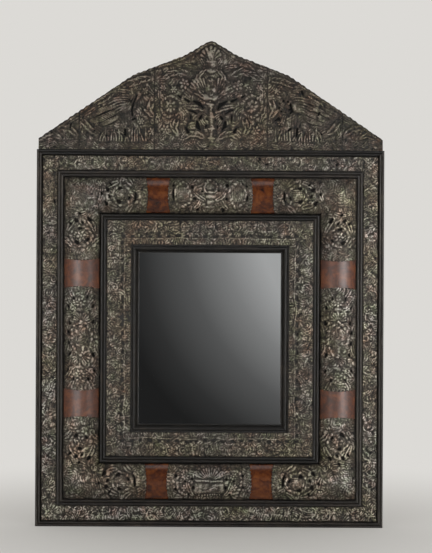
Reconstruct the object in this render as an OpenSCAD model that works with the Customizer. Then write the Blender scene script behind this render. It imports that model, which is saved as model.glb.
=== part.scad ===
// Wall mirror with a lift-off crest. The wide frame is built in mitred bands on a half-lapped oak carcass:
// black edge moulding, flat outer band of embossed sheet, black reeded moulding, convex cushion with metal
// plaques and tortoiseshell between them, black reeded moulding, crowned inner band, sight moulding, glass.
// +X is right, +Z is up and the front faces -Y. The origin is the centre of the frame on its back plane.

/* [Frame face] */
// Width of the frame, outside the edge moulding
frame_w = 800; // [720:10:960]
// Height of the frame without its crest
frame_h = 868; // [780:10:1040]
// Width of the black moulding round the outside
edge_w = 12; // [10:1:16]
// Width of the flat outer band
outer_band_w = 37; // [32:1:44]
// Width of the reeded moulding outside the cushion
outer_moulding_w = 14; // [12:1:18]
// Width of the convex cushion
cushion_w = 85; // [76:1:94]
// Width of the reeded moulding inside the cushion
inner_moulding_w = 14; // [12:1:18]
// Width of the crowned inner band
inner_band_w = 58; // [50:1:66]
// Width of the black sight moulding beside the glass
sight_w = 17; // [15:1:22]

/* [Depth] */
// Thickness of the oak carcass
carcass_t = 24; // [22:1:30]
// How far the edge moulding stands in front of the carcass
edge_rise = 10; // [6:1:14]
// How far the outer reeded moulding stands in front of the carcass
outer_moulding_rise = 13; // [10:1:16]
// Height of the cushion's straight sides
cushion_wall = 10; // [8:1:13]
// Height of the cushion's curve above its sides
cushion_rise = 20; // [16:1:24]
// How far the inner reeded moulding stands in front of the carcass
inner_moulding_rise = 16; // [13:1:20]
// Thickness of the inner frame at its edges
inner_frame_t = 12; // [11:1:16]
// Height of the inner band's crown
band_crown = 3; // [2:0.5:4]
// Thickness of the embossed sheet
sheet_t = 0.8; // [0.6:0.1:1.2]
// Height of the main ornament above the sheet
relief_t = 2.4; // [1:0.2:3.2]
// Thickness of the tortoiseshell with its backing
veneer_t = 1; // [0.8:0.1:1.5]

/* [Plaques] */
// Distance from the middle of the top or bottom cushion to the middle of a tortoiseshell panel
short_side_panel_x = 120; // [110:2:130]
// Length of a tortoiseshell panel on the top and bottom
short_side_panel_l = 55; // [45:1:65]
// Distance from the middle of a side cushion to the middle of a tortoiseshell panel
long_side_panel_z = 149; // [140:2:160]
// Length of a tortoiseshell panel on the sides
long_side_panel_l = 68; // [55:1:80]
// How far a plaque's end bows out in its middle
plaque_bow = 5; // [3:0.5:6]
// Radius of the cartouche in the middle of a centre plaque
cartouche_r = 27; // [22:1:32]
// Outer radius of the pierced wreath on each arm of a corner plaque
wreath_r = 24; // [21:1:28]
// Radius of the pierced holes in the wreaths and the crest
pierced_r = 3; // [2:0.5:3.5]

/* [Glass and back] */
// Thickness of the mirror glass
glass_t = 4; // [3:0.5:5]
// How far the glass runs behind the sight moulding
glass_lap = 9; // [7:1:11]
// Width of the ledge behind the inner frame that holds the glass blocks
block_ledge = 16; // [13:1:20]
// Length of a glass block
block_l = 40; // [30:2:60]
// Thickness of the backboards
backboard_t = 12; // [8:1:14]
// Width of the rebate that the backboards lie in
backboard_rebate = 12; // [10:1:16]
// Radius of a nail's shank
nail_r = 1.3; // [1:0.1:1.8]
// Radius of a nail's head
nail_head_r = 3.2; // [2.6:0.2:4]
// Length of a nail
nail_l = 20; // [17:1:21]

/* [Crest] */
// Height of the crest at its middle
crest_h = 250; // [240:2:270]
// Radius of the crest's round tip
crest_tip_r = 18; // [14:1:22]
// Distance from the middle to the hollow below the tip
crest_hollow_x = 60; // [54:1:66]
// Height of the hollow below the tip
crest_hollow_h = 217; // [211:1:222]
// Distance from the middle to the bend in the crest's slope
crest_knee_x = 180; // [165:5:195]
// Height of the bend in the crest's slope
crest_knee_h = 171; // [160:1:178]
// Height of the crest's upright ends
crest_end_h = 24; // [18:1:34]
// How far the crest's ends stop short of the frame's sides
crest_inset = 3.5; // [2:0.5:8]
// Thickness of the crest board
crest_board_t = 14; // [12:1:18]
// Distance from the middle to the inner seams of the crest sheet
crest_seam_x = 127; // [115:1:140]
// Distance from the middle to the outer seams of the crest sheet
crest_end_seam_x = 300; // [280:2:316]
// Width of the rolled rim along the crest's slopes
crest_rim_w = 5; // [3:0.5:7]

/* [Crest battens and hangers] */
// Width of a crest batten
batten_w = 36; // [28:1:44]
// Thickness of a crest batten
batten_t = 12; // [10:1:13]
// How far a batten reaches down behind the frame
batten_drop = 130; // [100:5:150]
// Height of a batten behind the crest
batten_up = 120; // [100:5:130]
// Distance from the side of the backboard opening to a batten
batten_inset = 50; // [40:2:60]
// Thickness of a keeper staple
keeper_t = 2.5; // [2:0.5:3.5]
// Width of a keeper staple
keeper_w = 14; // [10:1:18]
// Distance of a hanging eye below the top of the frame
eye_drop = 134; // [120:2:160]
// Radius of the iron that a hanging eye is bent from
eye_wire_r = 1.8; // [1.5:0.1:2.2]
// Inner radius of a hanging ring
ring_inner_r = 13; // [11:0.5:16]
// Thickness of the iron that a hanging ring is forged from
ring_iron = 4; // [3:0.2:5]

/* [Hidden] */
$fn = 48;
SIDES = ["bottom", "right", "top", "left"];
BLACK = "#2b2824";
METAL = "#8a8072";
SHELL = "#7d3f22";
OAK = "#8b6b45";
IRON = "#3f3c38";
GLASS = "#9aa3a6";

// Gaps: a moving fit, a seam between sheets, a board's play, the glue under the tortoiseshell, and how far a
// cutting shape overruns
slide_gap = 0.3;
seam_gap = 0.4;
board_gap = 0.5;
glue_t = 0.05;
past = 1;

// Distances inward from the frame's outside, in the order that the bands follow each other
outer_band_s = edge_w;
outer_moulding_s = outer_band_s + outer_band_w;
cushion_s = outer_moulding_s + outer_moulding_w;
inner_moulding_s = cushion_s + cushion_w;
inner_band_s = inner_moulding_s + inner_moulding_w;
sight_s = inner_band_s + inner_band_w;
sight_edge_s = sight_s + sight_w;
glass_edge_s = sight_edge_s - glass_lap;
carcass_in_s = glass_edge_s - block_ledge;
cushion_mid_s = cushion_s + cushion_w / 2;

// Heights in front of the wall, and the radii of the cushion's and the inner band's curves
edge_front = carcass_t + edge_rise;
cushion_wall_top = carcass_t + cushion_wall;
cushion_crown = cushion_wall_top + cushion_rise;
cushion_r = arc_radius(cushion_w, cushion_rise);
inner_frame_front = carcass_t + inner_frame_t;
band_r = arc_radius(inner_band_w, band_crown);
front_limit = cushion_crown + 2 * relief_t;

// The rim on the flat sheets, and the sight moulding's step, beads and lip
band_rim_w = 3;
rim_t = 2 * sheet_t;
sight_step = 2;
sight_bead_r = 4;
lip_bead_r = 1.8;
glass_play = 0.5;

// The plaques keep a margin to the cushion's edges, and their bowed ends are arcs
plaque_margin = 1.5;
plaque_end_r = arc_radius(cushion_w, plaque_bow);
plaque_t = rim_t;
wreath_w = 7;
wreath_holes = 6;
hole_land = 1;
hole_circle_r = wreath_r - wreath_w - pierced_r - hole_land;

// The carcass, and the backboard opening in it to the far side of its rebate
carcass_x = frame_w / 2 - edge_w;
carcass_z = frame_h / 2 - edge_w;
opening_x = frame_w / 2 - carcass_in_s;
opening_z = frame_h / 2 - carcass_in_s;
rebate_x = opening_x + backboard_rebate;
rebate_z = opening_z + backboard_rebate;
backboard_count = 3;
backboard_h = 2 * rebate_z / backboard_count;
nail_inset = backboard_rebate / 2;
nail_spread = backboard_h / 3;
nail_head_t = 1.2;
block_w = block_ledge + glass_lap / 2;
block_spread = 0.62;

// The crest's heights are above the top of the frame
crest_base_z = frame_h / 2;
crest_half_w = frame_w / 2 - crest_inset;
crest_back = batten_t;
crest_front = crest_back + crest_board_t;
crest_knee_r = 120;
crest_hollow_r = 40;
arc_steps = 6;
// The crest's raised forms are paths of points: distance from the middle, height, half width. Those beside the
// stem are on the right half, and are repeated on the left
crest_stem = [
    [[0, 24, 7], [0, 38, 4.5], [0, 50, 9], [0, 64, 5], [0, 77, 9], [0, 92, 5.5], [0, 103, 10]],
    [[0, 128, 12], [0, 142, 17], [0, 156, 13]],
    [[0, 198, 13], [0, 209, 8], [0, 222, 12]]
];
crest_leaves = [
    [[14, 119, 5], [28, 130, 6], [35, 150, 5.5], [29, 170, 5], [19, 182, 4]],
    [[14, 27, 5], [28, 34, 7], [44, 37, 6], [56, 32, 4]],
    [[14, 88, 4], [24, 95, 5], [36, 98, 4], [48, 100, 3]],
    [[46, 173, 7], [66, 180, 8], [88, 176, 7], [104, 167, 4]],
    [[78, 34, 5], [84, 48, 7], [79, 62, 4]],
    [[134, 163, 6], [158, 161, 8], [184, 152, 6]],
    [[222, 132, 6], [242, 119, 6], [258, 108, 4]],
    [[264, 35, 6], [279, 48, 8], [290, 60, 5]],
    [[309, 32, 6], [323, 45, 7], [338, 49, 4]],
    [[346, 27, 4], [358, 33, 5], [372, 30, 3]],
    [[133, 72, 6], [145, 88, 8], [139, 106, 5]]
];
crest_flowers = [
    [62, 151, 13], [86, 139, 8], [104, 47, 12], [138, 44, 9], [112, 143, 8], [162, 64, 8], [152, 136, 8]
];
crest_bird = [
    [[178, 101, 9], [197, 98, 15], [214, 91, 11]],
    [[181, 108, 7], [173, 118, 6], [167, 129, 7]],
    [[206, 113, 4], [227, 116, 5], [248, 104, 4]],
    [[222, 100, 4], [246, 93, 5], [268, 81, 4]],
    [[222, 86, 5], [247, 75, 6], [274, 66, 4]],
    [[214, 76, 4], [233, 66, 5], [252, 60, 4]],
    [[189, 80, 3], [189, 56, 3]],
    [[202, 80, 3], [202, 56, 3]]
];
petals = 6;
petal_dip = 0.78;
rosette_at = [93, 100];
rosette_r = 26;
rosette_ring_w = 5;
rosette_heart_r = 13;
rosette_sides = 20;
leaf_rise = 1.6;
foot_border = [3, 19];
crest_holes = [[29, 58], [24.5, 76], [56, 49], [60, 116]];

// The battens, with their keeper staples and screws at shares of the battens' two lengths
batten_x = opening_x - batten_inset - batten_w / 2;
groove_half_w = batten_w / 2 + slide_gap;
keeper_leg_l = carcass_t * 0.6;
keeper_rows = [0.25, 0.8];
screw_rows = [0.2, 0.5, 0.8];
screw_r = 2;
screw_head_r = 4;
screw_head_l = 2.5;
screw_cover = 4;

// A hanging ring's iron turns in its eye with a little play at its corners
eye_play = 0.8;
eye_hole_r = ring_iron / sqrt(2) + eye_play;
eye_mean_r = eye_hole_r + eye_wire_r;
eye_collar_t = 1;
eye_collar_r = 2.2 * eye_wire_r;
eye_standoff = eye_mean_r + eye_wire_r + eye_collar_t;
eye_x = (carcass_x + opening_x) / 2;
eye_z = frame_h / 2 - eye_drop;
eye_shank_l = carcass_t * 0.75;
ring_mean_r = ring_inner_r + ring_iron / 2;

// Radius of the arc that rises by a height over a chord
function arc_radius(chord, rise) = (pow(chord / 2, 2) + pow(rise, 2)) / (2 * rise);

// The face is drawn lying flat with +Z towards the viewer, and then stood up to face -Y
module stand() {
    rotate([90, 0, 0]) children();
}

// A box between two values on each axis, in either order
module slab(x, y, z) {
    translate([min(x), min(y), min(z)])
        cube([max(x) - min(x), max(y) - min(y), max(z) - min(z)]);
}

// Sides 0 to 3 are bottom, right, top and left: each is drawn as the bottom one, running along X
module on_side(side) {
    rotate([0, 0, 90 * side]) children();
}

function upright(side) = side % 2 == 1;
function half_l(side) = (upright(side) ? frame_h : frame_w) / 2;
function outside(side) = (upright(side) ? frame_w : frame_h) / 2;
function panel_mid(side) = upright(side) ? long_side_panel_z : short_side_panel_x;
function panel_half(side) = (upright(side) ? long_side_panel_l : short_side_panel_l) / 2;

// The share of the face that belongs to one side, between its two mitres
module mitre_wedge(side) {
    reach = sight_edge_s + past;
    near = -outside(side);
    far = reach - outside(side);
    ends = [half_l(side), half_l(side) - reach];
    linear_extrude(2 * front_limit, center = true)
        polygon([[-ends[0], near], [ends[0], near], [ends[1], far], [-ends[1], far]]);
}

// A mitred length of moulding from its section: x inward from the outside, y towards the viewer
module mitred_run(side) {
    on_side(side) intersection() {
        translate([-half_l(side), -outside(side), 0])
            rotate([90, 0, 90]) linear_extrude(2 * half_l(side)) children();
        mitre_wedge(side);
    }
}

// The carcass is half-lapped: at the corners the stiles keep their back half, the rails their front half
module carcass_stile(hand) {
    color(OAK) stand() difference() {
        slab([hand * opening_x, hand * carcass_x], [-carcass_z, carcass_z], [0, carcass_t]);
        for (end = [-1, 1])
            slab([hand * (opening_x - past), hand * (carcass_x + past)],
                 [end * opening_z, end * (carcass_z + past)], [carcass_t / 2, carcass_t + past]);
        backboard_rebate_cut();
        nails();
        eye(hand);
    }
}

module carcass_rail(hand) {
    color(OAK) stand() difference() {
        slab([-carcass_x, carcass_x], [hand * opening_z, hand * carcass_z], [0, carcass_t]);
        for (end = [-1, 1])
            slab([end * opening_x, end * (carcass_x + past)],
                 [hand * (opening_z - past), hand * (carcass_z + past)], [-past, carcass_t / 2]);
        backboard_rebate_cut();
        nails();
        if (hand > 0) {
            batten_grooves();
            keepers();
            for (side = [-1, 1]) eye(side);
        }
    }
}

module backboard_rebate_cut() {
    slab([-rebate_x, rebate_x], [-rebate_z, rebate_z], [-past, backboard_t]);
}

// Two reeds side by side on a flat moulding
module reeded_section(s, w, back, front) {
    reed_r = w / 4;
    translate([s, back]) square([w, front - back - reed_r]);
    for (i = [1, 3]) translate([s + i * reed_r, front - reed_r]) circle(reed_r);
}

module edge_moulding(side) {
    color(BLACK) stand() difference() {
        mitred_run(side) reeded_section(0, edge_w, 0, edge_front);
        if (SIDES[side] == "top") batten_grooves();
    }
}

module outer_moulding(side) {
    color(BLACK) stand() mitred_run(side)
        reeded_section(outer_moulding_s, outer_moulding_w, carcass_t, carcass_t + outer_moulding_rise);
}

module inner_moulding(side) {
    color(BLACK) stand() mitred_run(side)
        reeded_section(inner_moulding_s, inner_moulding_w, carcass_t, carcass_t + inner_moulding_rise);
}

// The flat outer band is one bent sheet a side, with a raised rim along both edges
module outer_band(side) {
    color(METAL) stand() mitred_run(side) translate([outer_band_s, carcass_t]) {
        square([outer_band_w, sheet_t]);
        for (s = [0, outer_band_w - band_rim_w]) translate([s, 0]) square([band_rim_w, rim_t]);
    }
}

// The disc whose edge follows the cushion's curve at a height above its wood
module cushion_disc(height) {
    translate([cushion_mid_s, cushion_crown - cushion_r]) circle(cushion_r + height);
}

module cushion(side) {
    color(BLACK) stand() mitred_run(side) {
        translate([cushion_s, carcass_t]) square([cushion_w, cushion_wall]);
        intersection() {
            cushion_disc(0);
            translate([cushion_s, cushion_wall_top]) square([cushion_w, cushion_rise + past]);
        }
    }
}

// A bent skin over the cushion, from one height above its wood to another, a margin in from its edges
module cushion_skin(side, from, to) {
    mitred_run(side) difference() {
        intersection() {
            cushion_disc(to);
            translate([cushion_s + plaque_margin, cushion_wall_top])
                square([cushion_w - 2 * plaque_margin, cushion_rise + to + past]);
        }
        cushion_disc(from);
    }
}

// A round prism through the cushion of one side
module cushion_prism(side, x, r) {
    on_side(side) translate([x, cushion_mid_s - outside(side), 0])
        cylinder(2 * front_limit, r = r, center = true);
}

// The prism whose one end bows towards the middle of the side, as a corner plaque's arm does
module arm_prism(side, end, grow) {
    arm_x = panel_mid(side) + panel_half(side) + plaque_end_r - plaque_bow;
    cushion_prism(side, end * arm_x, plaque_end_r + grow);
    on_side(side) slab([end * arm_x, end * half_l(side)],
                       [-outside(side), sight_edge_s - outside(side)], [-front_limit, front_limit]);
}

// The prism that bows at both ends, as a centre plaque does
module centre_prism(side, grow) {
    end_x = panel_mid(side) - panel_half(side) + plaque_bow - plaque_end_r;
    intersection() {
        cushion_prism(side, end_x, plaque_end_r + grow);
        cushion_prism(side, -end_x, plaque_end_r + grow);
    }
}

module centre_plaque(side) {
    color(METAL) stand() {
        intersection() {
            cushion_skin(side, 0, plaque_t);
            centre_prism(side, 0);
        }
        intersection() {
            cushion_skin(side, 0, plaque_t + relief_t);
            cushion_prism(side, 0, cartouche_r);
        }
    }
}

// One bent plaque over the corner between a side and the next one round
module corner_plaque(side) {
    color(METAL) stand() {
        corner_arm(side, 1);
        corner_arm((side + 1) % len(SIDES), -1);
    }
}

module corner_arm(side, end) {
    mitre_x = half_l(side) - inner_moulding_s;
    wreath_x = end * (panel_mid(side) + panel_half(side) + mitre_x) / 2;
    difference() {
        union() {
            intersection() {
                cushion_skin(side, 0, plaque_t);
                arm_prism(side, end, 0);
            }
            intersection() {
                cushion_skin(side, 0, plaque_t + relief_t);
                difference() {
                    cushion_prism(side, wreath_x, wreath_r);
                    cushion_prism(side, wreath_x, wreath_r - wreath_w);
                }
            }
        }
        on_side(side) translate([wreath_x, cushion_mid_s - outside(side), cushion_wall_top])
            for (i = [1:wreath_holes]) rotate([0, 0, 360 * i / wreath_holes])
                translate([hole_circle_r, 0, 0]) cylinder(front_limit, r = pierced_r);
    }
}

// Two panels a side, between the centre plaque and the corner plaques
module tortoiseshell(side) {
    near = panel_mid(side) - panel_half(side);
    far = panel_mid(side) + panel_half(side);
    color(SHELL) stand() for (end = [-1, 1]) difference() {
        intersection() {
            cushion_skin(side, glue_t, glue_t + veneer_t);
            on_side(side) slab([end * near, end * far],
                               [-outside(side), sight_edge_s - outside(side)], [-front_limit, front_limit]);
        }
        centre_prism(side, seam_gap);
        arm_prism(side, end, seam_gap);
    }
}

// The disc whose edge follows the inner band's crown at a height above its wood
module band_disc(height) {
    translate([inner_band_s + inner_band_w / 2, inner_frame_front + band_crown - band_r])
        circle(band_r + height);
}

module band_strip(height) {
    translate([inner_band_s, inner_frame_front]) square([inner_band_w, height]);
}

// The inner frame carries the crowned band and the sight moulding, and its rebate holds the glass
module inner_frame(side) {
    glass_seat = carcass_t + glass_t;
    sight_back_s = glass_edge_s - glass_play;
    sight_front = inner_frame_front - sight_step;
    lip_front = glass_seat + lip_bead_r;
    bead_s = sight_s + sight_step + sight_bead_r;
    color(BLACK) stand() mitred_run(side) {
        translate([inner_band_s, carcass_t]) square([inner_band_w, inner_frame_t]);
        intersection() {
            band_disc(0);
            band_strip(band_crown + past);
        }
        polygon([
            [sight_s, carcass_t], [sight_back_s, carcass_t],
            [sight_back_s, glass_seat], [sight_edge_s, glass_seat],
            [sight_edge_s, lip_front], [sight_edge_s - 2 * lip_bead_r, lip_front],
            [bead_s + sight_bead_r, sight_front], [sight_s, sight_front]
        ]);
        translate([sight_edge_s - lip_bead_r, lip_front]) circle(lip_bead_r);
        translate([bead_s, sight_front]) circle(sight_bead_r);
    }
}

module inner_band(side) {
    color(METAL) stand() mitred_run(side) difference() {
        intersection() {
            band_disc(sheet_t);
            band_strip(band_crown + sheet_t + past);
        }
        band_disc(0);
    }
}

module mirror_glass() {
    x = frame_w / 2 - glass_edge_s;
    z = frame_h / 2 - glass_edge_s;
    color(GLASS) stand() slab([-x, x], [-z, z], [carcass_t, carcass_t + glass_t]);
}

// Glued blocks behind the edge of the glass, three a side
module glass_blocks() {
    color(OAK) stand() for (side = [0:len(SIDES) - 1]) on_side(side) for (place = [-1, 0, 1]) {
        x = place * block_spread * (half_l(side) - sight_edge_s);
        s = carcass_in_s - outside(side);
        slab([x - block_l / 2, x + block_l / 2], [s, s + block_w], [backboard_t + slide_gap, carcass_t]);
    }
}

// Horizontal boards from the bottom up, flush with the back of the carcass
module backboard(i) {
    low = i * backboard_h - rebate_z + board_gap / 2;
    color(OAK) stand() difference() {
        slab([board_gap - rebate_x, rebate_x - board_gap], [low, low + backboard_h - board_gap],
             [0, backboard_t]);
        nails();
    }
}

module nails() {
    x = rebate_x - nail_inset;
    for (hand = [-1, 1]) for (i = [0:backboard_count - 1]) for (row = [-0.5, 0.5])
        translate([hand * x, (i + 0.5) * backboard_h - rebate_z + row * nail_spread, 0]) nail();
}

module nail() {
    cylinder(nail_head_t, r = nail_head_r);
    cylinder(nail_l, r = nail_r);
}

module backboard_nails() {
    color(IRON) stand() nails();
}

// The arc at corner b of a path from a through b to c
function round_corner(a, b, c, r) =
    let (u = (a - b) / norm(a - b), v = (c - b) / norm(c - b), half = acos(u * v) / 2)
    let (centre = b + r / sin(half) * (u + v) / norm(u + v))
    let (start = b + r / tan(half) * u - centre, stop = b + r / tan(half) * v - centre)
    [for (i = [0:arc_steps]) let (p = start + (stop - start) * i / arc_steps) centre + p * r / norm(p)];

// The right half of the crest's outline, from its foot up to just before the tip
function crest_half() =
    let (foot = [crest_half_w, crest_end_h], knee = [crest_knee_x, crest_knee_h])
    let (hollow = [crest_hollow_x, crest_hollow_h], tip = [0, crest_h - crest_tip_r])
    let (away = hollow - tip, turn = atan2(away[1], away[0]) + acos(crest_tip_r / norm(away)))
    let (tangent = tip + crest_tip_r * [cos(turn), sin(turn)])
    concat(
        [[crest_half_w, 0], foot],
        round_corner(foot, knee, hollow, crest_knee_r),
        round_corner(knee, hollow, tangent, crest_hollow_r),
        [for (i = [0:arc_steps - 1]) let (angle = turn + (90 - turn) * i / arc_steps)
            tip + crest_tip_r * [cos(angle), sin(angle)]]
    );

module crest_outline() {
    right = crest_half();
    left = [for (i = [len(right) - 1:-1:0]) [-right[i][0], right[i][1]]];
    polygon(concat(right, [[0, crest_h]], left));
}

module crest_board() {
    color(OAK) stand() difference() {
        translate([0, crest_base_z, crest_back]) linear_extrude(crest_board_t) crest_outline();
        crest_screw_shapes();
    }
}

// The blunt-ended outline round a path of points, each with its own half width
function form_outline(path) =
    let (last = len(path) - 1, spots = [for (p = path) [p[0], p[1]]])
    let (runs = [for (i = [0:last]) spots[min(i + 1, last)] - spots[max(i - 1, 0)]])
    let (ways = [for (run = runs) run / norm(run)])
    let (aside = [for (i = [0:last]) path[i][2] * [ways[i][1], -ways[i][0]]])
    concat(
        [spots[0] - path[0][2] * ways[0]],
        [for (i = [0:last]) spots[i] + aside[i]],
        [spots[last] + path[last][2] * ways[last]],
        [for (i = [last:-1:0]) spots[i] - aside[i]]
    );

// A round outline of straight sides, whose every second corner may lie further in
function round_outline(at, r, sides, dip = 1) =
    [for (i = [0:sides - 1]) at + (i % 2 == 1 ? dip : 1) * r * [cos(360 * i / sides), sin(360 * i / sides)]];

// Forms raised from the sheet to a height, on both halves of the crest and inside its rim
module raised(height) {
    linear_extrude(sheet_t + height) intersection() {
        translate([0, -crest_rim_w]) crest_outline();
        union() {
            children();
            mirror([1, 0]) children();
        }
    }
}

module crest_leaf_forms() {
    for (path = crest_leaves) polygon(form_outline(path));
    translate([0, foot_border[0]]) square([crest_half_w - crest_rim_w, foot_border[1] - foot_border[0]]);
}

module crest_main_forms() {
    for (path = concat(crest_stem, crest_bird)) polygon(form_outline(path));
    for (flower = crest_flowers)
        polygon(round_outline([flower[0], flower[1]], flower[2], 2 * petals, petal_dip));
    polygon(round_outline(rosette_at, rosette_heart_r, 2 * petals, petal_dip));
    difference() {
        polygon(round_outline(rosette_at, rosette_r, rosette_sides));
        polygon(round_outline(rosette_at, rosette_r - rosette_ring_w, rosette_sides));
    }
}

// The sheet over the crest, with its rolled rim, its raised ornament and its pierced holes
module crest_sheet_whole() {
    difference() {
        union() {
            linear_extrude(sheet_t) crest_outline();
            linear_extrude(sheet_t + rim_t) difference() {
                crest_outline();
                translate([0, -crest_rim_w]) crest_outline();
            }
            raised(leaf_rise) crest_leaf_forms();
            raised(relief_t) crest_main_forms();
        }
        for (hand = [-1, 1]) for (hole = crest_holes)
            translate([hand * hole[0], hole[1], -past]) cylinder(sheet_t + relief_t + 2 * past, r = pierced_r);
    }
}

module crest_panel(from, to) {
    color(METAL) stand() translate([0, crest_base_z, crest_front]) intersection() {
        crest_sheet_whole();
        slab([from, to], [0, crest_h], [0, front_limit]);
    }
}

module crest_sheet_side(hand) {
    crest_panel(hand * (crest_seam_x + seam_gap), hand * crest_end_seam_x);
    crest_panel(hand * (crest_end_seam_x + seam_gap), hand * crest_half_w);
}

// The grooves in the back of the top rail that the battens slide in, open at the top
module batten_grooves() {
    for (hand = [-1, 1])
        slab([hand * batten_x - groove_half_w, hand * batten_x + groove_half_w],
             [crest_base_z - batten_drop - slide_gap, crest_base_z + past], [-past, batten_t + slide_gap]);
}

module crest_battens() {
    color(OAK) stand() difference() {
        for (hand = [-1, 1])
            slab([hand * batten_x - batten_w / 2, hand * batten_x + batten_w / 2],
                 [crest_base_z - batten_drop, crest_base_z + batten_up], [0, batten_t]);
        crest_screw_shapes();
    }
}

module crest_screw_shapes() {
    length = crest_front - screw_cover;
    for (hand = [-1, 1]) for (row = screw_rows)
        translate([hand * batten_x, crest_base_z + row * batten_up, 0]) {
            cylinder(screw_head_l, r1 = screw_head_r, r2 = screw_r);
            cylinder(length, r = screw_r);
        }
}

module crest_screws() {
    color(IRON) stand() crest_screw_shapes();
}

// Staples across the grooves, with their legs driven into the rail, so that the battens slide but stay in
module keepers() {
    for (hand = [-1, 1]) for (row = keeper_rows)
        translate([hand * batten_x, crest_base_z - row * batten_drop, 0]) keeper();
}

module keeper() {
    half_w = groove_half_w + keeper_t;
    slab([-half_w, half_w], [-keeper_w / 2, keeper_w / 2], [-slide_gap - keeper_t, -slide_gap]);
    for (hand = [-1, 1])
        slab([hand * groove_half_w, hand * half_w], [-keeper_w / 2, keeper_w / 2],
             [-slide_gap - keeper_t, keeper_leg_l]);
}

module crest_keepers() {
    color(IRON) stand() keepers();
}

module eye(hand) {
    translate([hand * eye_x, eye_z, -eye_standoff]) {
        rotate([0, 90, 0]) rotate_extrude() translate([eye_mean_r, 0]) circle(eye_wire_r);
        translate([0, 0, eye_mean_r]) cylinder(eye_standoff - eye_mean_r + eye_shank_l, r = eye_wire_r);
        translate([0, 0, eye_standoff - eye_collar_t]) cylinder(eye_collar_t, r = eye_collar_r);
    }
}

module hanging_eyes() {
    color(IRON) stand() for (hand = [-1, 1]) eye(hand);
}

// The ring's inside is flat, so that it sits on a round hook, and its outside is round
module hanging_ring(hand) {
    color(IRON) stand() translate([hand * eye_x, eye_z - ring_mean_r, -eye_standoff]) rotate_extrude() {
        translate([ring_inner_r, -ring_iron / 2]) square([ring_iron / 2, ring_iron]);
        translate([ring_mean_r, 0]) circle(ring_iron / 2);
    }
}

carcass_stile(-1);  // carcass_left_stile
carcass_stile(1);  // carcass_right_stile
carcass_rail(1);  // carcass_top_rail
carcass_rail(-1);  // carcass_bottom_rail
for (side = [0:len(SIDES) - 1]) {
    edge_moulding(side);
    outer_band(side);
    outer_moulding(side);
    cushion(side);
    centre_plaque(side);
    tortoiseshell(side);
    inner_moulding(side);
    inner_frame(side);
    inner_band(side);
}
corner_plaque(0);  // corner_plaque_bottom_right
corner_plaque(1);  // corner_plaque_top_right
corner_plaque(2);  // corner_plaque_top_left
corner_plaque(3);  // corner_plaque_bottom_left
mirror_glass();
glass_blocks();
backboard(0);  // backboard_lower
backboard(1);  // backboard_middle
backboard(2);  // backboard_upper
backboard_nails();
crest_board();
crest_sheet_side(-1);  // crest_sheet_left
crest_panel(-crest_seam_x, crest_seam_x);  // crest_sheet_centre
crest_sheet_side(1);  // crest_sheet_right
crest_battens();
crest_screws();
crest_keepers();
hanging_eyes();
hanging_ring(-1);  // hanging_ring_left
hanging_ring(1);  // hanging_ring_right
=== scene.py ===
# %% [markdown]
# # A cushion-framed wall mirror in embossed metal and tortoiseshell
# The mirror has a wide black frame. A convex cushion runs round its middle, with embossed metal plaques and
# short tortoiseshell panels on it, flat embossed bands lie on both sides of it, and a tall embossed crest
# stands on top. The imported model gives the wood, the glass and the ironwork. This lesson adds the hammered
# ornament and the finishes.

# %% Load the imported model
import math

import bmesh
import bpy
import numpy as np
from mathutils import Matrix, Vector


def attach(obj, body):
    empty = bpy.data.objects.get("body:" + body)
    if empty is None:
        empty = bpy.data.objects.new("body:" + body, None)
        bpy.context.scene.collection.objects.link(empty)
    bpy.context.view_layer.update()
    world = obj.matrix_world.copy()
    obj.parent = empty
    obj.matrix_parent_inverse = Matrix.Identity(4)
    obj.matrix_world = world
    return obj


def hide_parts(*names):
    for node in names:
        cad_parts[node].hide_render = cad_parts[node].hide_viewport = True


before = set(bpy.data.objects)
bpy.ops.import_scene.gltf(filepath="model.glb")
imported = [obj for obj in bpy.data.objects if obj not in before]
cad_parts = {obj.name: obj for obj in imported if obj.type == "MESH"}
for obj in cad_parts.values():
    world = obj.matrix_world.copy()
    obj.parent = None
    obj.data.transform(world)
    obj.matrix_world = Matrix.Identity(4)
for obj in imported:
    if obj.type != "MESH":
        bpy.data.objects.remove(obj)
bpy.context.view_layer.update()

# %% [markdown]
# ## The frame's measures
# Everything on the face is found by its distance inward from the frame's outside, because the bands follow
# each other in that direction on all four sides. The lengths are in millimetres, as a maker would measure
# them.

# %% Name the measures of the frame
MM = 0.001
HALF_W = 400.0
HALF_H = 434.0
# Where each band of metal begins and ends, inward from the frame's outside
OUTER_BAND = (12.3, 48.7)
CUSHION = (64.5, 146.5)
INNER_BAND = (162.4, 219.6)
OUTER_BAND_MID = sum(OUTER_BAND) / 2
CUSHION_MID = sum(CUSHION) / 2
INNER_BAND_MID = sum(INNER_BAND) / 2
CUSHION_HALF = (CUSHION[1] - CUSHION[0]) / 2
# The thickness of each sheet here
SHEET_T = 0.7
# How far each plain sheet's face stands in front of the wall, and the radius of the two that are curved
OUTER_BAND_FRONT = 24.9
CUSHION_FRONT = 55.85
CUSHION_R = 57.0
INNER_BAND_FRONT = 39.85
INNER_BAND_R = 142.5
CREST_FRONT = 26.9
# The ends of the plaques bow out by this much, on an arc of this radius
END_BOW = 5.0
END_BOW_R = 183.1
# Where the tortoiseshell panels of the top and bottom, and those of the sides, begin and end from the middle
SHORT_PANEL = (92.5, 147.5)
LONG_PANEL = (115.0, 183.0)


def smooth_step(value):
    """0 below 0, 1 above 1, and a soft rise between them."""
    value = np.clip(value, 0, 1)
    return value * value * (3 - 2 * value)


def inward(x, z):
    """How far points of the face lie from the frame's nearest outer edge."""
    return np.minimum(HALF_W - np.abs(x), HALF_H - np.abs(z))


print("cushion runs from", CUSHION[0], "to", CUSHION[1], "mm inward")

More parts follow.
